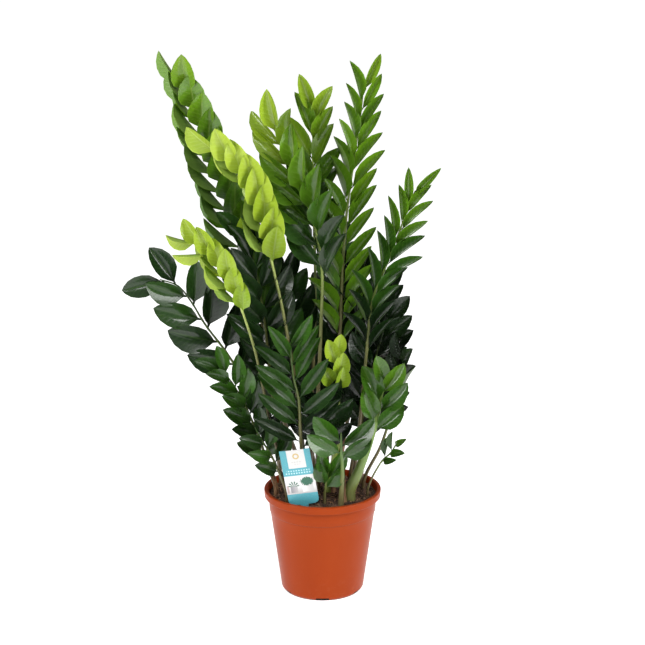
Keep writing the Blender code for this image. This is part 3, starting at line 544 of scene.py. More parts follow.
def place_leaflets(frond, rachis, space):
    """Each leaflet, turned until it stands clear of all that grew before it."""
    chance = random.Random(frond.name)
    grown = []
    for distance, hand, share in leaflet_places(frond, rachis):
        frame = rachis.at(distance + NODE_LENGTH / 2)
        length, width = leaflet_size(frond, share, chance)
        ascent = frond.ascent * (1.12 - 0.55 * share ** 2) + chance.uniform(-4, 4)
        lift = frond.lift + chance.uniform(-5, 5)
        roll = frond.roll * (1.0 - 0.8 * share ** 4) + chance.uniform(-8, 8)
        base = frame[0] + hand * frame[2] * rachis.radius(distance) * STEM_FLAT
        for size in SIZES:
            found = None
            for turn, raise_by in TURNS:
                out, upper = leaflet_frame(frame, hand, max(12, ascent + turn), lift + raise_by, roll)
                wide = leaflet_rings(base, out, upper, length * size, width * size, 2 * LEAFLET_ROOM)
                if space.is_free(wide, frond.name):
                    found = Leaflet(distance, share, base, out, upper, length * size, width * size)
                    break
            if found:
                break
        if found:
            space.add(wide)
            grown.append(found)
    return grown


def sheath_ring(rachis, distance, inside, open_angle, turn):
    """A C of points round the stem: out along the outer side and back along the inner one."""
    place, _, side, upper = rachis.at(distance)
    span = math.radians(360 - open_angle)
    angles = [math.radians(turn) - span / 2 + span * step / SHEATH_STEPS for step in range(SHEATH_STEPS + 1)]
    spokes = [math.cos(angle) * side + math.sin(angle) * upper for angle in angles]
    return ([place + (inside + SHEATH_THICKNESS) * spoke for spoke in spokes]
            + [place + inside * spoke for spoke in reversed(spokes)])


def sheath_rings(frond, rachis, height, open_angle, turn):
    rings = []
    count = 3 + round(height / SHEATH_RING_SPACING)
    for share in (step / count for step in range(count + 1)):
        distance = FOOT_DEPTH - SHEATH_FOOT + (height + SHEATH_FOOT) * share
        inside = stem_reach(frond) + SHEATH_GAP + SHEATH_FLARE * share ** 2
        opening = min(320, open_angle + 120 * share ** 3)
        rings.append(sheath_ring(rachis, distance, inside, opening, turn))
    return rings


# Shader maths.

class Value:
    """A number or a colour that varies over a surface. An expression on numbers adds their Math nodes."""

    def __init__(self, finish, socket):
        self.finish = finish
        self.socket = socket

    def math(self, operation, first, second=None):
        inputs = {0: first} if second is None else {0: first, 1: second}
        return self.finish.add("ShaderNodeMath", {"operation": operation}, inputs)

    def __add__(self, other):
        return self.math("ADD", self, other)

    def __radd__(self, other):
        return self.math("ADD", other, self)

    def __sub__(self, other):
        return self.math("SUBTRACT", self, other)

    def __rsub__(self, other):
        return self.math("SUBTRACT", other, self)

    def __mul__(self, other):
        return self.math("MULTIPLY", self, other)

    def __rmul__(self, other):
        return self.math("MULTIPLY", other, self)

    def __pow__(self, other):
        return self.math("POWER", self, other)

    def __abs__(self):
        return self.math("ABSOLUTE", self)

    def sine(self):
        return self.math("SINE", self)

    def most(self, other):
        return self.math("MAXIMUM", self, other)

    def fade(self, low, high):
        """0 below low, 1 above high, and a smooth step between them. It falls where low is above high."""
        settings = {"interpolation_type": "SMOOTHSTEP", "clamp": True}
        if low < high:
            return self.finish.add("ShaderNodeMapRange", settings, {"Value": self, 1: low, 2: high})
        return 1 - self.finish.add("ShaderNodeMapRange", settings, {"Value": self, 1: high, 2: low})


class Finish:
    """One material, whose nodes are all added by one method."""

    def __init__(self, name):
        self.material = bpy.data.materials.new(name)
        self.material.use_nodes = True
        self.nodes = self.material.node_tree.nodes
        self.links = self.material.node_tree.links
        self.shader = self.nodes["Principled BSDF"]

    def set(self, node, inputs):
        for name, value in inputs.items():
            socket = node.inputs[name]
            if isinstance(value, Value):
                self.links.new(value.socket, socket)
            elif socket.type == "RGBA" and len(value) == 3:
                socket.default_value = (*value, 1.0)
            else:
                socket.default_value = value

    def add(self, kind, settings=None, inputs=None, output=0):
        node = self.nodes.new(kind)
        for name, value in (settings or {}).items():
            if name == "stops":
                while len(node.color_ramp.elements) < len(value):
                    node.color_ramp.elements.new(1.0)
                for stop, (place, colour) in zip(node.color_ramp.elements, value):
                    stop.position = place
                    stop.color = (*colour, 1.0)
            else:
                setattr(node, name, value)
        self.set(node, inputs or {})
        return Value(self, node.outputs[output])

    def surface(self, **inputs):
        self.set(self.shader, {name.replace("_", " "): value for name, value in inputs.items()})

    def mix(self, share, first, second):
        return self.add("ShaderNodeMix", {"data_type": "RGBA"}, {0: share, 6: first, 7: second}, output=2)

    def ramp(self, value, stops):
        return self.add("ShaderNodeValToRGB", {"stops": stops}, {0: value})

    def place(self):
        return self.add("ShaderNodeTexCoord", output="Object")

    def noise(self, where, scale, detail, roughness=0.5):
        return self.add("ShaderNodeTexNoise", None,
                        {"Vector": where, "Scale": scale, "Detail": detail, "Roughness": roughness})

    def stretched(self, where, scale):
        return self.add("ShaderNodeMapping", None, {"Vector": where, "Scale": scale})

    def attribute(self, name):
        return self.add("ShaderNodeAttribute", {"attribute_name": name}, output="Fac")

    def axes(self, vector):
        node = self.add("ShaderNodeSeparateXYZ", None, {0: vector}).socket.node
        return [Value(self, socket) for socket in node.outputs]

    def across_and_along(self):
        return self.axes(self.add("ShaderNodeUVMap"))[:2]

    def bump(self, height, distance, strength):
        return self.add("ShaderNodeBump", None,
                        {"Height": height, "Distance": distance, "Strength": strength})


# The finishes.

def leaf_finish(slot, roughness, coat, glow):
    """A leaflet's green follows its age: nearly black when old, lime when it has just opened."""
    finish = Finish(slot)
    across, along = finish.across_and_along()
    age = finish.attribute("age")
    tint = finish.attribute("tint")
    under = finish.attribute("underside")
    where = finish.place()
    from_rib = abs(across - 0.5) * 2
    mottle = finish.noise(where, 55.0, 4.0, 0.6)
    blotch = finish.noise(where, 14.0, 2.0)
    rib = from_rib.fade(0.105, 0.03)
    wave = (along * 78.0 - from_rib * 15.0 + mottle * 2.2).sine() * 0.5 + 0.5
    veins = wave ** 5.0 * from_rib.fade(0.98, 0.6) * from_rib.fade(0.04, 0.16)
    seen_age = (age + (tint - 0.5) * 0.12 + (blotch - 0.5) * 0.16 + (mottle - 0.5) * 0.06
                + (along - 0.5) * 0.05)
    green = finish.ramp(seen_age, LEAF_GREENS)
    pale = finish.ramp(age, RIB_GREENS)
    green = finish.mix(veins * 0.20, green, pale)
    green = finish.mix(rib * 0.50, green, pale)
    green = finish.mix(from_rib.fade(0.93, 0.99) * 0.35, green, pale)
    back = finish.mix(0.55, green, finish.ramp(age, UNDERSIDE_GREENS))
    green = finish.mix(under, green, back)
    height = (blotch * 0.6 + mottle * 0.12 - rib * 0.8 - veins * 0.45) * (1 - under * 1.6)
    finish.surface(Base_Color=green, Roughness=mottle * 0.14 + under * 0.22 + (roughness - 0.07),
                   Normal=finish.bump(height, 0.0009, 0.6), Coat_Weight=(1 - under) * coat,
                   Coat_Roughness=0.10, Specular_IOR_Level=0.26)
    through = finish.add("ShaderNodeBsdfTranslucent", None, {"Color": green})
    both = finish.add("ShaderNodeMixShader", None,
                      {0: glow, 1: Value(finish, finish.shader.outputs[0]), 2: through})
    finish.links.new(both.socket, finish.nodes["Material Output"].inputs["Surface"])
    return finish.material


def stem_finish():
    """Stems are tan and mottled low down, olive higher up, and end in the green of their leaflets."""
    finish = Finish("stem")
    where = finish.place()
    along = finish.attribute("along")
    age = finish.attribute("age")
    tint = finish.attribute("tint")
    streak = finish.noise(finish.stretched(where, (3.0, 3.0, 0.45)), 90.0, 4.0, 0.65)
    spots = finish.noise(where, 240.0, 2.0).fade(0.60, 0.70)
    level = along + (streak - 0.5) * 0.22 + (tint - 0.5) * 0.12
    woody = finish.ramp(level, STEM_COLOURS)
    green = finish.ramp(age, RIB_GREENS)
    colour = finish.mix(level.fade(0.42, 0.98), woody, green)
    colour = finish.mix(spots * along.fade(0.6, 0.1) * 0.55, colour, (0.05, 0.032, 0.014))
    height = streak * 0.6 + spots * 0.3
    finish.surface(Base_Color=colour, Roughness=streak * 0.2 + 0.34,
                   Normal=finish.bump(height, 0.0005, 0.6), Coat_Weight=along * 0.2,
                   Coat_Roughness=0.25)
    return finish.material


def pot_finish():
    """Injection-moulded terracotta plastic: soft sheen, faint flow marks, a little dust, and a line of
    painted shade at the band step.
    """
    finish = Finish("terracotta_plastic")
    where = finish.place()
    height = finish.axes(where)[2]
    flow = finish.noise(finish.stretched(where, (1.0, 1.0, 0.35)), 16.0, 4.0, 0.55)
    fine = finish.noise(where, 420.0, 2.0)
    scuffs = finish.noise(finish.stretched(where, (1.0, 1.0, 5.0)), 60.0, 5.0, 0.7).fade(0.60, 0.74)
    dust = finish.noise(where, 95.0, 5.0, 0.7).fade(0.50, 0.72) * height.fade(0.055, 0.0)
    wet = height.fade(POT_HEIGHT - 0.004, POT_HEIGHT) * finish.noise(where, 130.0, 4.0, 0.7).fade(0.48, 0.62)
    colour = finish.mix(flow, (0.25, 0.029, 0.002), (0.30, 0.041, 0.004))
    colour = finish.mix(scuffs * 0.08, colour, (0.44, 0.10, 0.05))
    colour = finish.mix(dust * 0.16, colour, (0.38, 0.15, 0.08))
    colour = finish.mix(wet * 0.35, colour, (0.20, 0.05, 0.025))
    # Painted shade: a dark line just under the band step, where the step's shadow would fall.
    step = POT_HEIGHT - BAND_DROP
    painted_step_shade = height.fade(step - 0.0022, step - 0.0008) * height.fade(step + 0.0012, step)
    colour = finish.mix(painted_step_shade * 0.4, colour, (0.14, 0.03, 0.012))
    roughness = fine * 0.08 + flow * 0.08 + scuffs * 0.08 + dust * 0.15 + 0.26
    relief = flow * 0.5 + fine * 0.06
    finish.surface(Base_Color=colour, Roughness=roughness, Normal=finish.bump(relief, 0.0012, 0.35),
                   Specular_IOR_Level=0.10)
    return finish.material


def mix_finish():
    """Damp potting mix: dark peat with lighter fibres."""
    finish = Finish("potting_mix_fine")
    where = finish.place()
    grain = finish.noise(where, 260.0, 5.0, 0.7)
    clods = finish.noise(where, 70.0, 3.0, 0.6)
    fibre = finish.noise(finish.stretched(where, (1.0, 6.0, 1.0)), 120.0, 3.0, 0.6).fade(0.60, 0.70)
    tint = finish.attribute("tint")
    shade = grain * 0.55 + clods * 0.35 + (tint - 0.5) * 0.45
    colour = finish.ramp(shade, MIX_COLOURS)
    colour = finish.mix(fibre * 0.30, colour, (0.20, 0.10, 0.05))
    finish.surface(Base_Color=colour, Roughness=0.86 + grain * 0.1,
                   Normal=finish.bump(grain + clods * 0.6, 0.0016, 0.9))
    return finish.material


def fibre_finish():
    """Dry coir fibres and bits of bark that lie on the mix."""
    finish = Finish("coir")
    where = finish.place()
    grain = finish.noise(where, 300.0, 3.0)
    colour = finish.ramp(grain * 0.5 + finish.attribute("tint") * 0.5, FIBRE_COLOURS)
    finish.surface(Base_Color=colour, Roughness=0.72 + grain * 0.15,
                   Normal=finish.bump(grain, 0.0004, 0.6))
    return finish.material


def sheath_finish():
    """Dry leaf sheaths: thin, fibrous and brown, paler at their torn ends."""
    finish = Finish("sheath_paper_fine")
    along = finish.across_and_along()[1]
    where = finish.place()
    fibres = finish.noise(finish.stretched(where, (9.0, 9.0, 0.5)), 75.0, 4.0, 0.65)
    blotch = finish.noise(where, 45.0, 3.0, 0.6)
    colour = finish.ramp(fibres * 0.6 + blotch * 0.4, SHEATH_COLOURS)
    colour = finish.mix(along.fade(0.75, 1.0) * 0.6, colour, (0.10, 0.045, 0.022))
    finish.surface(Base_Color=colour, Roughness=0.55 + fibres * 0.25,
                   Normal=finish.bump(fibres, 0.0008, 0.8))
    return finish.material


def between(value, low, high, soft):
    """1 from low to high, with soft edges."""
    return value.fade(low - soft, low + soft) * value.fade(high + soft, high - soft)


def box_mask(x, y, box):
    """1 inside a box on the label, in shares of its width and height."""
    (left, bottom), (right, top) = box
    return between(x, left, right, PRINT_SOFTNESS) * between(y, bottom, top, PRINT_SOFTNESS / 2)


def rows_mask(x, y, boxes):
    """Rows of short dashes, one in each box."""
    first, second = (box_mask(x, y, box) for box in boxes)
    return (first + second) * (x * 74.0).sine().fade(-0.5, 0.1)


def label_picture(finish, x, y, where):
    """Two potted plants on a grey table: a bush in a pale pot and a fan of blades in a dark one."""
    ruffle = finish.noise(finish.stretched(where, (1.0, 1.6, 1.0)), 26.0, 3.0, 0.7)
    picture = finish.mix(y.fade(0.20, 0.34), (0.46, 0.45, 0.45), (0.62, 0.62, 0.62))
    picture = finish.mix(box_mask(x, y, ORNAMENT_BOX) * 0.7, picture, (0.34, 0.20, 0.19))
    dark_pot = finish.mix(x.fade(0.15, 0.38), (0.24, 0.24, 0.26), (0.40, 0.39, 0.40))
    picture = finish.mix(box_mask(x, y, LEFT_POT_BOX), picture, dark_pot)
    pale_pot = finish.mix(x.fade(0.5, 0.9), (0.74, 0.73, 0.72), (0.48, 0.48, 0.48))
    picture = finish.mix(box_mask(x, y, RIGHT_POT_BOX), picture, pale_pot)
    crown = ((x - 0.72) ** 2.0 * 0.75 + (y - 0.415) ** 2.0 * 5.0) ** 0.5
    bush = (crown + (ruffle - 0.5) * 0.22).fade(0.185, 0.165)
    fan = ((x - 0.265) ** 2.0 + ((y - 0.345) * 2.0) ** 2.0) ** 0.5
    angle = finish.add("ShaderNodeMath", {"operation": "ARCTAN2"}, {0: y * 2.0 - 0.68, 1: x - 0.265})
    blades = (angle * 11.0).sine().fade(-0.35, 0.15) * fan.fade(0.21, 0.14) * y.fade(0.335, 0.345)
    greens = finish.mix(ruffle, (0.004, 0.045, 0.030), (0.035, 0.17, 0.095))
    return finish.mix(bush.most(blades), picture, greens)


def label_finish():
    """A glossy printed card: a plain panel with a ring, two pairs of dashed rows, and a picture."""
    finish = Finish("printed_card")
    x, y = finish.across_and_along()
    where = finish.add("ShaderNodeUVMap")
    fine = finish.noise(where, 60.0, 3.0)
    turquoise = (0.075, 0.32, 0.38)
    paper = (0.60, 0.59, 0.58)
    colour = finish.mix(fine * 0.1, turquoise, (0.10, 0.38, 0.44))
    colour = finish.mix(box_mask(x, y, PANEL_BOX), colour, paper)
    from_ring = ((x - 0.51) ** 2.0 + ((y - 0.885) * 2.0) ** 2.0) ** 0.5
    ring = from_ring.fade(0.055, 0.068) * from_ring.fade(0.112, 0.100)
    colour = finish.mix(ring, colour, (0.52, 0.38, 0.14))
    colour = finish.mix(rows_mask(x, y, GREY_ROW_BOXES) * 0.55, colour, (0.35, 0.34, 0.33))
    colour = finish.mix(rows_mask(x, y, PALE_ROW_BOXES) * 0.6, colour, (0.60, 0.80, 0.82))
    colour = finish.mix(box_mask(x, y, PICTURE_BOX), colour, label_picture(finish, x, y, where))
    on_card = y.fade(-0.12, -0.10)
    colour = finish.mix(on_card, (0.74, 0.74, 0.73), colour)
    finish.surface(Base_Color=colour, Roughness=fine * 0.06 + 0.24,
                   Normal=finish.bump(fine, 0.0002, 0.15))
    return finish.material


def floor_finish():
    """A white studio floor that glows evenly, except for a disc of painted shade right under the pot, dark
    and without glow.
    """
    finish = Finish("studio_floor")
    where = finish.place()
    x, y, _ = finish.axes(where)
    grain = finish.noise(where, 3.0, 2.0)
    pale = finish.mix(grain, (0.93, 0.93, 0.93), (0.95, 0.95, 0.95))
    # Painted shade: inside the pot's foot the floor is painted near-black, with no glow, where the pot would
    # shade it.
    lit = ((x ** 2.0 + y ** 2.0) ** 0.5).fade(BASE_RADIUS - 0.006, BASE_RADIUS - 0.003)
    pale = finish.mix(lit, (0.02, 0.015, 0.012), pale)
    finish.surface(Base_Color=pale, Roughness=0.9, Emission_Color=pale, Emission_Strength=FLOOR_GLOW)
    return finish.material


# Modelling by hand.

def deselect_all():
    bpy.ops.object.select_all(action="DESELECT")


def name_active(name):
    obj = bpy.context.active_object
    obj.name = name
    obj.data.name = name
    return obj


def select_only(obj):
    deselect_all()
    obj.select_set(True)
    bpy.context.view_layer.objects.active = obj


def pick(obj, wanted, kind="VERT"):
    """In edit mode, selects the vertices or edges that wanted says yes to."""
    bpy.ops.mesh.select_mode(type=kind)
    bpy.ops.mesh.select_all(action="DESELECT")
    bm = bmesh.from_edit_mesh(obj.data)
    for item in {"VERT": bm.verts, "EDGE": bm.edges}[kind]:
        item.select_set(bool(wanted(item)))
    bm.select_flush_mode()
    bmesh.update_edit_mesh(obj.data)


def apply_modifiers(obj):
    select_only(obj)
    for modifier in list(obj.modifiers):
        bpy.ops.object.modifier_apply(modifier=modifier.name)


def smooth(obj, angle):
    select_only(obj)
    bpy.ops.object.shade_smooth_by_angle(angle=math.radians(angle))


def finished(obj, material, node):
    """Gives a piece its finish, and lets it stand for its part of the frame."""
    if material:
        obj.data.materials.clear()
        obj.data.materials.append(material)
    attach(obj, "root")
    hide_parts(node)
    return obj


def spread(obj, name, values, domain="POINT"):
    """Writes one number, or one for each point or face, as an attribute."""
    layer = obj.data.attributes.get(name) or obj.data.attributes.new(name, "FLOAT", domain)
    count = len(layer.data)
    layer.data.foreach_set("value", np.broadcast_to(np.asarray(values, np.float32), count).copy())


# The pot.

def turn_by_rings(name, profile, steps):
    """Starts a circle at the profile's first point and extrudes it from ring to ring."""
    deselect_all()
    (radius, height), rest = profile[0], profile[1:]
    bpy.ops.mesh.primitive_circle_add(vertices=steps, radius=radius, fill_type="NOTHING",
                                      location=(0, 0, height))
    obj = name_active(name)
    bpy.ops.object.transform_apply(location=True, rotation=True, scale=True)
    bpy.ops.object.mode_set(mode="EDIT")
    bpy.ops.mesh.select_all(action="SELECT")
    for next_radius, next_height in rest:
        bpy.ops.mesh.extrude_region_move(TRANSFORM_OT_translate={"value": (0, 0, next_height - height)})
        grow = next_radius / radius
        bpy.ops.transform.resize(value=(grow, grow, 1), center_override=(0, 0, next_height))
        radius, height = next_radius, next_height
    return obj


def close_up():
    """In edit mode, merges doubles, turns every face outwards and leaves edit mode."""
    bpy.ops.mesh.select_all(action="SELECT")
    bpy.ops.mesh.remove_doubles(threshold=MERGE)
    bpy.ops.mesh.normals_make_consistent(inside=False)
    bpy.ops.object.mode_set(mode="OBJECT")


def arc(centre, radius, start, end, steps):
    """Points of (radius, height) along an arc, with its angles in degrees from +X."""
    turns = [math.radians(start + (end - start) * step / steps) for step in range(steps + 1)]
    return [(centre[0] + radius * math.cos(turn), centre[1] + radius * math.sin(turn)) for turn in turns]


def straight(start, end, steps):
    """The points after start along a straight wall, so that long walls have even faces."""
    return [(start[0] + (end[0] - start[0]) * step / steps, start[1] + (end[1] - start[1]) * step / steps)
            for step in range(1, steps + 1)]


def pot_wall_profile():
    top = POT_HEIGHT
    band = top - BAND_DROP
    inner_top = inner_radius(band) + BAND_STEP + BAND_INSIDE
    lip = 0.0022
    centre = FLOOR_HEIGHT - WALL
    profile = [(POLE, FLOOR_HEIGHT), (0.02, FLOOR_HEIGHT), (0.05, FLOOR_HEIGHT)]
    profile += [(inner_radius(FLOOR_HEIGHT) - 0.004, FLOOR_HEIGHT)]
    profile += [(inner_radius(FLOOR_HEIGHT + 0.004), FLOOR_HEIGHT + 0.004)]
    profile += straight(profile[-1], (inner_radius(band), band), 6)
    profile += [(inner_top, top - lip), (inner_top + 0.0006, top - 0.0006)]
    profile += [(inner_top + 0.0018, top)]
    profile += arc((RIM_RADIUS - lip, top - lip), lip, 90, 0, 5)
    profile += [(RIM_RADIUS - 0.0008, top - RIM_DROP + 0.0008), (RIM_RADIUS - 0.0014, top - RIM_DROP)]
    profile += [(RIM_RADIUS - WALL - 0.0006, top - RIM_DROP)]
    profile += [(RIM_RADIUS - WALL - 0.0010, top - RIM_DROP + 0.0008)]
    profile += [(RIM_RADIUS - WALL - 0.0004, top - WALL - 0.0014)]
    profile += [(BAND_TOP_RADIUS + 0.0008, top - WALL - 0.001)]
    profile += [(BAND_TOP_RADIUS, top - WALL - 0.0018)]
    profile += straight(profile[-1], (outer_radius(band) + BAND_STEP, band + 0.0008), 3)
    profile += [(outer_radius(band) + BAND_STEP - 0.0005, band), (outer_radius(band) + 0.0004, band - 0.0004)]
    profile += [(outer_radius(band), band - 0.0014)]
    profile += straight(profile[-1], (outer_radius(CORNER_RADIUS), CORNER_RADIUS), 8)
    profile += arc((BASE_RADIUS - CORNER_RADIUS, CORNER_RADIUS), CORNER_RADIUS, -15, -90, 5)
    ring_in = BASE_RADIUS - CORNER_RADIUS - FOOT_RING_WIDTH
    profile += [(ring_in, 0.0), (ring_in - 0.001, centre), (0.04, centre), (FOOT_PAD_RADIUS, centre)]
    profile += [(FOOT_PAD_RADIUS - 0.0005, 0.0), (POLE, 0.0)]
    return profile


def fill_pole(obj, height):
    """Closes the small hole that the rings leave on the axis."""
    near = 0.0001
    pick(obj, lambda edge: edge.is_boundary and all(abs(v.co.z - height) < near for v in edge.verts), "EDGE")
    bpy.ops.mesh.edge_face_add()


def add_cutter(name):
    cutter = name_active(name)
    bpy.ops.object.transform_apply(location=True, rotation=True, scale=True)
    return cutter


def cut_away(obj, cutter):
    boolean = obj.modifiers.new("cut", "BOOLEAN")
    boolean.operation = "DIFFERENCE"
    boolean.object = cutter
    apply_modifiers(obj)
    bpy.data.objects.remove(cutter)


def make_pot():
    pot = turn_by_rings("moulded_pot", pot_wall_profile(), POT_STEPS)
    fill_pole(pot, FLOOR_HEIGHT)
    fill_pole(pot, 0.0)
    close_up()
    for index in range(NOTCHES):
        turn = math.tau * index / NOTCHES - math.pi / 2
        deselect_all()
        reach = BASE_RADIUS - 0.006
        bpy.ops.mesh.primitive_cube_add(size=1, location=(reach * math.cos(turn), reach * math.sin(turn), 0),
                                        rotation=(0, 0, turn),
                                        scale=(NOTCH_LENGTH, NOTCH_WIDTH, 2 * NOTCH_HEIGHT))
        cutter = add_cutter("drain_notch")
        bevel = cutter.modifiers.new("round", "BEVEL")
        bevel.width = NOTCH_ROUNDING
        bevel.segments = 3
        apply_modifiers(cutter)
        cut_away(pot, cutter)
    for index in range(NOTCHES):
        turn = math.tau * (index + 0.5) / NOTCHES - math.pi / 2
        deselect_all()
        place = (DRAIN_HOLE_CIRCLE * math.cos(turn), DRAIN_HOLE_CIRCLE * math.sin(turn), FLOOR_HEIGHT)
        bpy.ops.mesh.primitive_cylinder_add(vertices=24, radius=DRAIN_HOLE_RADIUS, depth=0.02, location=place)
        cut_away(pot, add_cutter("drain_hole"))
    smooth(pot, 32)
    return finished(pot, pot_finish(), "nursery_pot")


# The mix.

def ripple(x, y):
    """Small lumps in the mix's surface, as a share from -1 to 1."""
    return sum(math.sin(a * x + b * y + c) for a, b, c in RIPPLES) / len(RIPPLES)


def make_mix():
    """The body of the mix, then crumbs and fibres strewn on it."""
    peat = mix_finish()
    band = POT_HEIGHT - BAND_DROP
    floor = FLOOR_HEIGHT + CLEARANCE
    edge = inner_radius(band) - CLEARANCE + (MIX_TOP - band) * MIX_SIDE_LEAN
    profile = [(max(POLE, edge * step / MIX_RINGS), MIX_TOP) for step in range(MIX_RINGS + 1)]
    profile += [(edge, MIX_TOP - MIX_CHAMFER), (inner_radius(band) - CLEARANCE, band)]
    profile += [(inner_radius(FLOOR_HEIGHT + MIX_CHAMFER) - CLEARANCE, floor + MIX_CHAMFER)]
    profile += [(inner_radius(FLOOR_HEIGHT) - MIX_CHAMFER - CLEARANCE, floor), (POLE, floor)]
    mix = turn_by_rings("crumbly_mix", profile, MIX_STEPS)
    fill_pole(mix, MIX_TOP)
    fill_pole(mix, floor)
    close_up()
    chance = random.Random("mix")
    for vertex in mix.data.vertices:
        radius = math.hypot(vertex.co.x, vertex.co.y)
        if vertex.co.z > MIX_TOP - 0.001:
            lump = LUMP_HEIGHT * ripple(vertex.co.x, vertex.co.y) + chance.uniform(-GRIT_HEIGHT, GRIT_HEIGHT)
            calm = min(1.0, (edge - radius) / MIX_CHAMFER + 0.3)
            vertex.co.z = mix_height(radius) - SURFACE_SINK + lump * calm
    spread(mix, "tint", 0.5)
    smooth(mix, 60)
    strewn = strew_crumbs(edge, peat) + strew_fibres(edge, fibre_finish())
    select_only(mix)
    mix.data.materials.append(peat)
    for piece in strewn:
        piece.select_set(True)
    bpy.ops.object.join()
    return finished(mix, None, "potting_mix")


def crumb_masters():
    """A few lumps, each a ball of twenty faces pushed out of shape."""
    masters = []
    for index in range(CRUMB_SHAPES):
        deselect_all()
        bpy.ops.mesh.primitive_ico_sphere_add(subdivisions=1, radius=1)
        crumb = name_active(f"crumb_{index}")
        bpy.ops.object.mode_set(mode="EDIT")
        bpy.ops.transform.vertex_random(offset=0.5, seed=index + 3)
        bpy.ops.object.mode_set(mode="OBJECT")
        crumb.data.shade_smooth()
        masters.append(crumb)
    return masters


def on_mix(chance, edge):
    radius = edge * math.sqrt(chance.uniform(0.0, 0.99))
    turn = chance.uniform(0, math.tau)
    x, y = radius * math.cos(turn), radius * math.sin(turn)
    return Vector((x, y, mix_height(radius)))


def copied(master, matrix, tint):
    """A copy with its own mesh, its place in its points."""
    piece = master.copy()
    piece.data = master.data.copy()
    piece.data.transform(matrix)
    bpy.context.scene.collection.objects.link(piece)
    spread(piece, "tint", tint)
    return piece


def strew_crumbs(edge, material):
    chance = random.Random("crumbs")
    masters = crumb_masters()
    least, more = CRUMB_SIZES
    pieces = []
    for master in masters:
        master.data.materials.append(material)
    for _ in range(CRUMBS):
        size = least + more * chance.random() ** 2.6
        turn = (Matrix.Rotation(chance.uniform(0, math.tau), 4, "Z")
                @ Matrix.Rotation(chance.uniform(0, math.tau), 4, "X"))
        shape = Matrix.Diagonal((size, size * chance.uniform(0.6, 1.0), size * chance.uniform(0.5, 0.9), 1))
        place = Matrix.Translation(on_mix(chance, edge - size) + Vector((0, 0, size * 0.25)))
        pieces.append(copied(chance.choice(masters), place @ turn @ shape, chance.random()))
    for master in masters:
        bpy.data.objects.remove(master)
    return pieces


def strew_fibres(edge, material):
    """Short strands, each a five-sided rod bent at its middle and stretched thin."""
    chance = random.Random("fibres")
    deselect_all()
    bpy.ops.mesh.primitive_cylinder_add(vertices=5, radius=1, depth=2, rotation=(0, math.pi / 2, 0))
    strand = name_active("strand")
    bpy.ops.object.transform_apply(location=True, rotation=True, scale=True)
    bpy.ops.object.mode_set(mode="EDIT")
    bpy.ops.mesh.select_all(action="SELECT")
    bpy.ops.mesh.bisect(plane_co=(0, 0, 0), plane_no=(1, 0, 0))
    bpy.ops.transform.translate(value=(0, 1.6, 0.8))
    bpy.ops.object.mode_set(mode="OBJECT")
    strand.data.materials.append(material)
    pieces = []
    for _ in range(FIBRES):
        thick = chance.uniform(*FIBRE_THICKNESS)
        length = chance.uniform(*FIBRE_LENGTH)
        turn = (Matrix.Rotation(chance.uniform(0, math.tau), 4, "Z")
                @ Matrix.Rotation(chance.uniform(-0.3, 0.3), 4, "Y"))
        shape = Matrix.Diagonal((length, thick * chance.uniform(1, 3), thick, 1))
        place = Matrix.Translation(on_mix(chance, edge - length) + Vector((0, 0, FIBRE_LIFT)))
        pieces.append(copied(strand, place @ turn @ shape, chance.random()))
    bpy.data.objects.remove(strand)
    return pieces


# The label.

def make_label():
    """A card with rounded lower corners on a pointed stake, cut from one sheet."""
    deselect_all()
    bpy.ops.mesh.primitive_grid_add(x_subdivisions=5, y_subdivisions=10, size=1)
    label = name_active("printed_label")
    bpy.ops.object.mode_set(mode="EDIT")
    bpy.ops.mesh.select_all(action="SELECT")
    bpy.ops.transform.resize(value=(LABEL_WIDTH, LABEL_HEIGHT, 1))
    bpy.ops.transform.translate(value=(0, LABEL_HEIGHT / 2, 0))
    pick(label, lambda v: abs(v.co.y) < 0.0001 and 0.001 < abs(v.co.x) < LABEL_WIDTH * 0.2)
    bpy.ops.transform.resize(value=(STAKE_WIDTH / LABEL_WIDTH * 5, 1, 1))
    bpy.ops.mesh.select_mode(type="EDGE")
    for down in (STAKE_DEPTH - STAKE_POINT_LENGTH, STAKE_POINT_LENGTH):
        bpy.ops.mesh.extrude_region_move(TRANSFORM_OT_translate={"value": (0, -down, 0)})
    bpy.ops.transform.resize(value=(STAKE_POINT_WIDTH / STAKE_WIDTH, 1, 1))
    pick(label, lambda v: abs(v.co.y) < 0.0001 and abs(v.co.x) > LABEL_WIDTH * 0.49)
    bpy.ops.mesh.bevel(offset=LABEL_CORNER * 0.8, segments=6, affect="VERTICES", offset_type="OFFSET")
    bpy.ops.object.mode_set(mode="OBJECT")
    layer = label.data.uv_layers.active.data
    for loop in label.data.loops:
        point = label.data.vertices[loop.vertex_index].co
        layer[loop.index].uv = (0.5 + point.x / LABEL_WIDTH, point.y / LABEL_HEIGHT)
    for vertex in label.data.vertices:
        x, y = vertex.co.x, vertex.co.y
        vertex.co = (x, -LABEL_BOW * math.cos(math.pi * x / LABEL_WIDTH) * max(0.0, y / LABEL_HEIGHT), y)
    card = label.modifiers.new("card", "SOLIDIFY")
    card.thickness = LABEL_THICKNESS * 0.8
    card.offset = 0
    apply_modifiers(label)
    label.data.transform(label_matrix())
    smooth(label, 40)
    return finished(label, label_finish(), "plant_label")


# The sheaths.

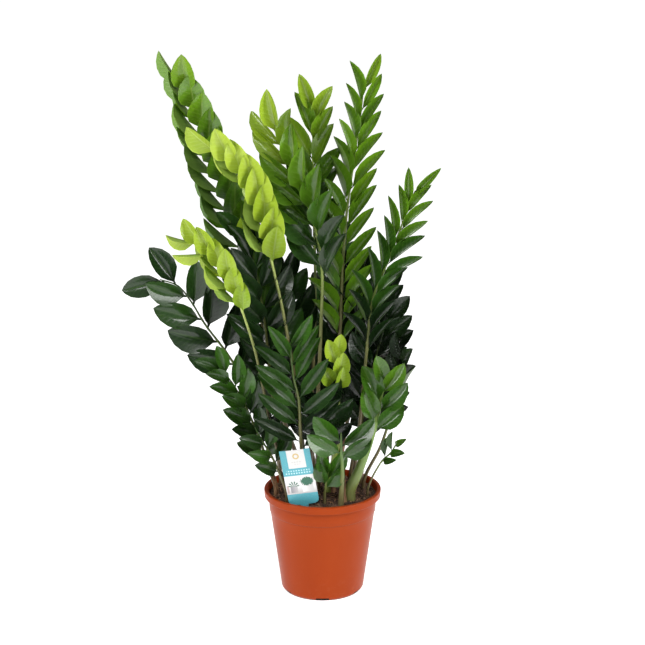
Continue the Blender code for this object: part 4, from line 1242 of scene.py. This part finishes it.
def make_sheath(name, frond, rachis, height, open_angle, turn, material):
    """A curled sheet round a petiole, torn at its upper end."""
    deselect_all()
    bpy.ops.mesh.primitive_grid_add(x_subdivisions=SHEATH_COLUMNS, y_subdivisions=SHEATH_ROWS, size=1)
    sheath = name_active(name.replace("sheath_", "") + "_sheath")
    chance = random.Random(name)
    tears = [chance.uniform(0.80, 1.0) for _ in range(SHEATH_COLUMNS + 1)]
    for vertex in sheath.data.vertices:
        across, along = vertex.co.x + 0.5, vertex.co.y + 0.5
        share = along * tears[round(across * SHEATH_COLUMNS)] ** (along * 2)
        distance = FOOT_DEPTH - SHEATH_FOOT + (height + SHEATH_FOOT) * share
        inside = (stem_reach(frond) + SHEATH_GAP + SHEATH_FLARE * share ** 2 + SHEATH_THICKNESS / 2
                  + 0.0006 * math.sin(9 * across + 7 * share) * share)
        opening = min(320, open_angle + 120 * share ** 3)
        span = math.radians(360 - opening)
        angle = math.radians(turn) + span * (across - 0.5)
        place, _, side, upper = rachis.at(distance)
        vertex.co = place + inside * (math.cos(angle) * side + math.sin(angle) * upper)
    paper = sheath.modifiers.new("paper", "SOLIDIFY")
    paper.thickness = SHEATH_PAPER
    paper.offset = 0
    apply_modifiers(sheath)
    smooth(sheath, 50)
    return finished(sheath, material, name)


# The fronds.

def make_blade(name, cup, arch, twist, sickle, wave):
    """One leaflet, 1 long and 1 wide, that grows along +Y with its upper side up.
    A sheet's rows are moved to their stations, and a turned-over copy of it closes the underside."""
    deselect_all()
    rows = len(BLADE_STATIONS) - 1
    bpy.ops.mesh.primitive_grid_add(x_subdivisions=BLADE_COLUMNS, y_subdivisions=rows, size=1)
    blade = name_active(name)
    bpy.ops.object.mode_set(mode="EDIT")
    for row, (station, share) in enumerate(BLADE_STATIONS):
        pick(blade, lambda v, row=row: v.index // (BLADE_COLUMNS + 1) == row)
        bpy.ops.transform.resize(value=(share, 1, 1), center_override=(0, 0, 0))
        bpy.ops.transform.translate(value=(0, station - (row / rows - 0.5), 0))
    bpy.ops.mesh.select_mode(type="FACE")
    bpy.ops.mesh.select_all(action="SELECT")
    bpy.ops.mesh.duplicate()
    bpy.ops.mesh.flip_normals()
    bpy.ops.mesh.select_mode(type="VERT")
    bpy.ops.mesh.select_less()
    bpy.ops.transform.translate(value=(0, 0, -BLADE_THICKNESS))
    bpy.ops.mesh.select_all(action="SELECT")
    bpy.ops.mesh.remove_doubles(threshold=0.0005)
    bpy.ops.object.mode_set(mode="OBJECT")
    mesh = blade.data
    under = [float(face.normal.z < 0) for face in mesh.polygons]
    for vertex in mesh.vertices:
        x, along, z = vertex.co
        half = abs(x) * 2
        fold = 0.20 * cup * half ** 1.3
        if half < 0.02 and 0.03 < along < 0.97:
            z -= 0.007 if z > -BLADE_THICKNESS / 2 else 0.010
        z += fold + arch * along ** 2 + wave * math.sin(9 * along + (2 if x > 0 else 0)) * half * 0.02
        turn = twist * along
        vertex.co = (x * math.cos(turn) + z * math.sin(turn) + sickle * along ** 2, along,
                     z * math.cos(turn) - x * 0.42 * math.sin(turn))
    spread(blade, "underside", under, "FACE")
    spread(blade, "age", 0.0)
    smooth(blade, 60)
    return blade


def make_blades():
    """Blades of a few shapes, from nearly flat to well cupped, some twisted or sickle-shaped."""
    chance = random.Random("blades")
    return [make_blade(f"blade_{index}", cup=chance.uniform(0.75, 1.35),
                       arch=LEAFLET_ARCH * chance.uniform(0.4, 1.6), twist=chance.uniform(-0.22, 0.22),
                       sickle=chance.uniform(-0.05, 0.05), wave=chance.uniform(-1, 1))
            for index in range(BLADE_SHAPES)]


def make_stem(frond, rachis, grown, material):
    """A tapering tube with a slight swelling under each leaflet."""
    route = bpy.data.curves.new(frond.name + "_route", "CURVE")
    route.dimensions = "3D"
    route.bevel_depth = 0.001
    route.bevel_resolution = 3
    route.use_fill_caps = True
    marks = {rachis.length * step / 40 for step in range(41)}
    for leaflet in grown:
        marks |= {leaflet.distance - 0.004, leaflet.distance + 0.001, leaflet.distance + 0.005}
    order = sorted(mark for mark in marks if 0 <= mark <= rachis.length)
    spline = route.splines.new("POLY")
    spline.points.add(len(order) - 1)
    for point, mark in zip(spline.points, order):
        swell = sum(math.exp(-((mark - leaf.distance - 0.001) / 0.004) ** 2) for leaf in grown)
        foot = math.exp(-max(0.0, mark - FOOT_DEPTH) / 0.02)
        point.co = (*rachis.at(mark)[0], 1)
        point.radius = rachis.radius(mark) * (0.93 + 0.16 * min(1.0, swell) + 0.12 * foot) / 0.001
    stem = bpy.data.objects.new(frond.name.replace("frond_", "") + "_frond", route)
    bpy.context.scene.collection.objects.link(stem)
    select_only(stem)
    bpy.ops.object.convert(target="MESH")
    bpy.ops.object.mode_set(mode="EDIT")
    close_up()
    stem.data.shade_smooth()
    low, high = rachis.points[0].z, rachis.points[-1].z
    heights = np.array([vertex.co.z for vertex in stem.data.vertices])
    along = np.clip((heights - low) / (high - low), 0, 1)
    old, young = YOUTH[frond.name]
    spread(stem, "along", np.clip(along + GREEN_PETIOLES.get(frond.name, 0.0), 0, 1))
    spread(stem, "age", old + (young - old) * along)
    spread(stem, "tint", random.Random(frond.name).random())
    stem.data.materials.clear()
    stem.data.materials.append(material)
    return stem


def lay_leaflet(blades, leaflet, age, chance, material):
    """A copy of one blade, stretched to the leaflet's length and width and laid along it."""
    across = leaflet.out.cross(leaflet.upper)
    columns = (across * leaflet.width, leaflet.out * leaflet.length, leaflet.upper * leaflet.length,
               leaflet.base)
    place = Matrix([[*(column[row] for column in columns)] for row in range(3)] + [[0, 0, 0, 1]])
    piece = copied(chance.choice(blades), place, chance.random())
    spread(piece, "age", age)
    piece.data.materials.append(material)
    return piece


def make_frond(frond, rachis, grown, blades, finishes):
    chance = random.Random(frond.name + "_leaves")
    stem = make_stem(frond, rachis, grown, finishes["stem"])
    old, young = YOUTH[frond.name]
    leaves = []
    for leaflet in grown:
        age = old + (young - old) * leaflet.share + chance.uniform(-0.04, 0.04)
        leaves.append(lay_leaflet(blades, leaflet, age, chance, finishes[frond.slot]))
    select_only(stem)
    for leaf in leaves:
        leaf.select_set(True)
    bpy.ops.object.join()
    return finished(stem, None, frond.name)


def grow_fronds():
    """Grows the leaflets in the frame's own order, so that each one stands where the frame has it."""
    fronds = {frond.name: frond for frond in FRONDS}
    rachises = {frond.name: Rachis(frond) for frond in FRONDS}
    space = Space()
    for name, rachis in rachises.items():
        count = max(4, int(rachis.length / 0.02))
        rings = [rachis.ring(FOOT_DEPTH + (rachis.length - FOOT_DEPTH) * i / count) for i in range(count + 1)]
        space.add(rings, name)
    space.add(pot_walls())
    corners = [label_matrix() @ Vector((x, y, z)) for z in (0, LABEL_HEIGHT)
               for x, y in ((-LABEL_WIDTH / 2, -LABEL_ROOM), (LABEL_WIDTH / 2, -LABEL_ROOM),
                            (LABEL_WIDTH / 2, LABEL_ROOM), (-LABEL_WIDTH / 2, LABEL_ROOM))]
    space.add([corners[:4], corners[4:]])
    paper = sheath_finish()
    for name, frond_name, height, open_angle, turn in SHEATHS:
        frond, rachis = fronds[frond_name], rachises[frond_name]
        space.add(sheath_rings(frond, rachis, height, open_angle, turn))
        make_sheath(name, frond, rachis, height, open_angle, turn, paper)
    finishes = {slot: leaf_finish(slot, *looks) for slot, looks in LEAF_LOOKS.items()}
    finishes["stem"] = stem_finish()
    blades = make_blades()
    for frond in FRONDS:
        grown = place_leaflets(frond, rachises[frond.name], space)
        make_frond(frond, rachises[frond.name], grown, blades, finishes)
    for blade in blades:
        bpy.data.objects.remove(blade)


# The studio.

def make_floor():
    deselect_all()
    bpy.ops.mesh.primitive_plane_add(size=FLOOR_SIZE, location=(0, 0, 0))
    floor = name_active("studio_floor")
    floor.data.materials.append(floor_finish())


def make_world():
    """Soft light from all round, brightest overhead and dimmer near the horizon."""
    world = bpy.data.worlds.new("studio_sky")
    bpy.context.scene.world = world
    world.use_nodes = True
    nodes, links = world.node_tree.nodes, world.node_tree.links
    sky = nodes["Background"]
    coordinates = nodes.new("ShaderNodeTexCoord")
    axes = nodes.new("ShaderNodeSeparateXYZ")
    height = nodes.new("ShaderNodeMapRange")
    height.inputs["From Min"].default_value = 0.0
    height.inputs["From Max"].default_value = 1.0
    height.inputs["To Min"].default_value = SKY_LOW
    height.inputs["To Max"].default_value = SKY_HIGH
    links.new(coordinates.outputs["Generated"], axes.inputs[0])
    links.new(axes.outputs["Z"], height.inputs["Value"])
    links.new(height.outputs[0], sky.inputs["Strength"])
    sky.inputs["Color"].default_value = (1.0, 1.0, 1.0, 1.0)


def make_softbox(name, place, size, power):
    deselect_all()
    bpy.ops.object.light_add(type="AREA", location=place)
    softbox = name_active(name)
    softbox.data.shape = "RECTANGLE"
    softbox.data.size, softbox.data.size_y = size
    softbox.data.energy = power
    aim = Vector(SOFTBOX_TARGET) - Vector(place)
    softbox.rotation_euler = aim.to_track_quat("-Z", "Y").to_euler()


def make_camera():
    deselect_all()
    bpy.ops.object.camera_add(location=CAMERA_PLACE, rotation=(math.radians(90 - CAMERA_PITCH), 0, 0))
    camera = name_active("camera")
    camera.data.sensor_width = CAMERA_SENSOR
    camera.data.lens = CAMERA_LENS
    bpy.context.scene.camera = camera


def main():
    make_camera()
    make_floor()
    make_world()
    for softbox in SOFTBOXES:
        make_softbox(*softbox)
    bpy.context.scene.view_settings.view_transform = "Standard"
    make_pot()
    make_mix()
    make_label()
    grow_fronds()


main()
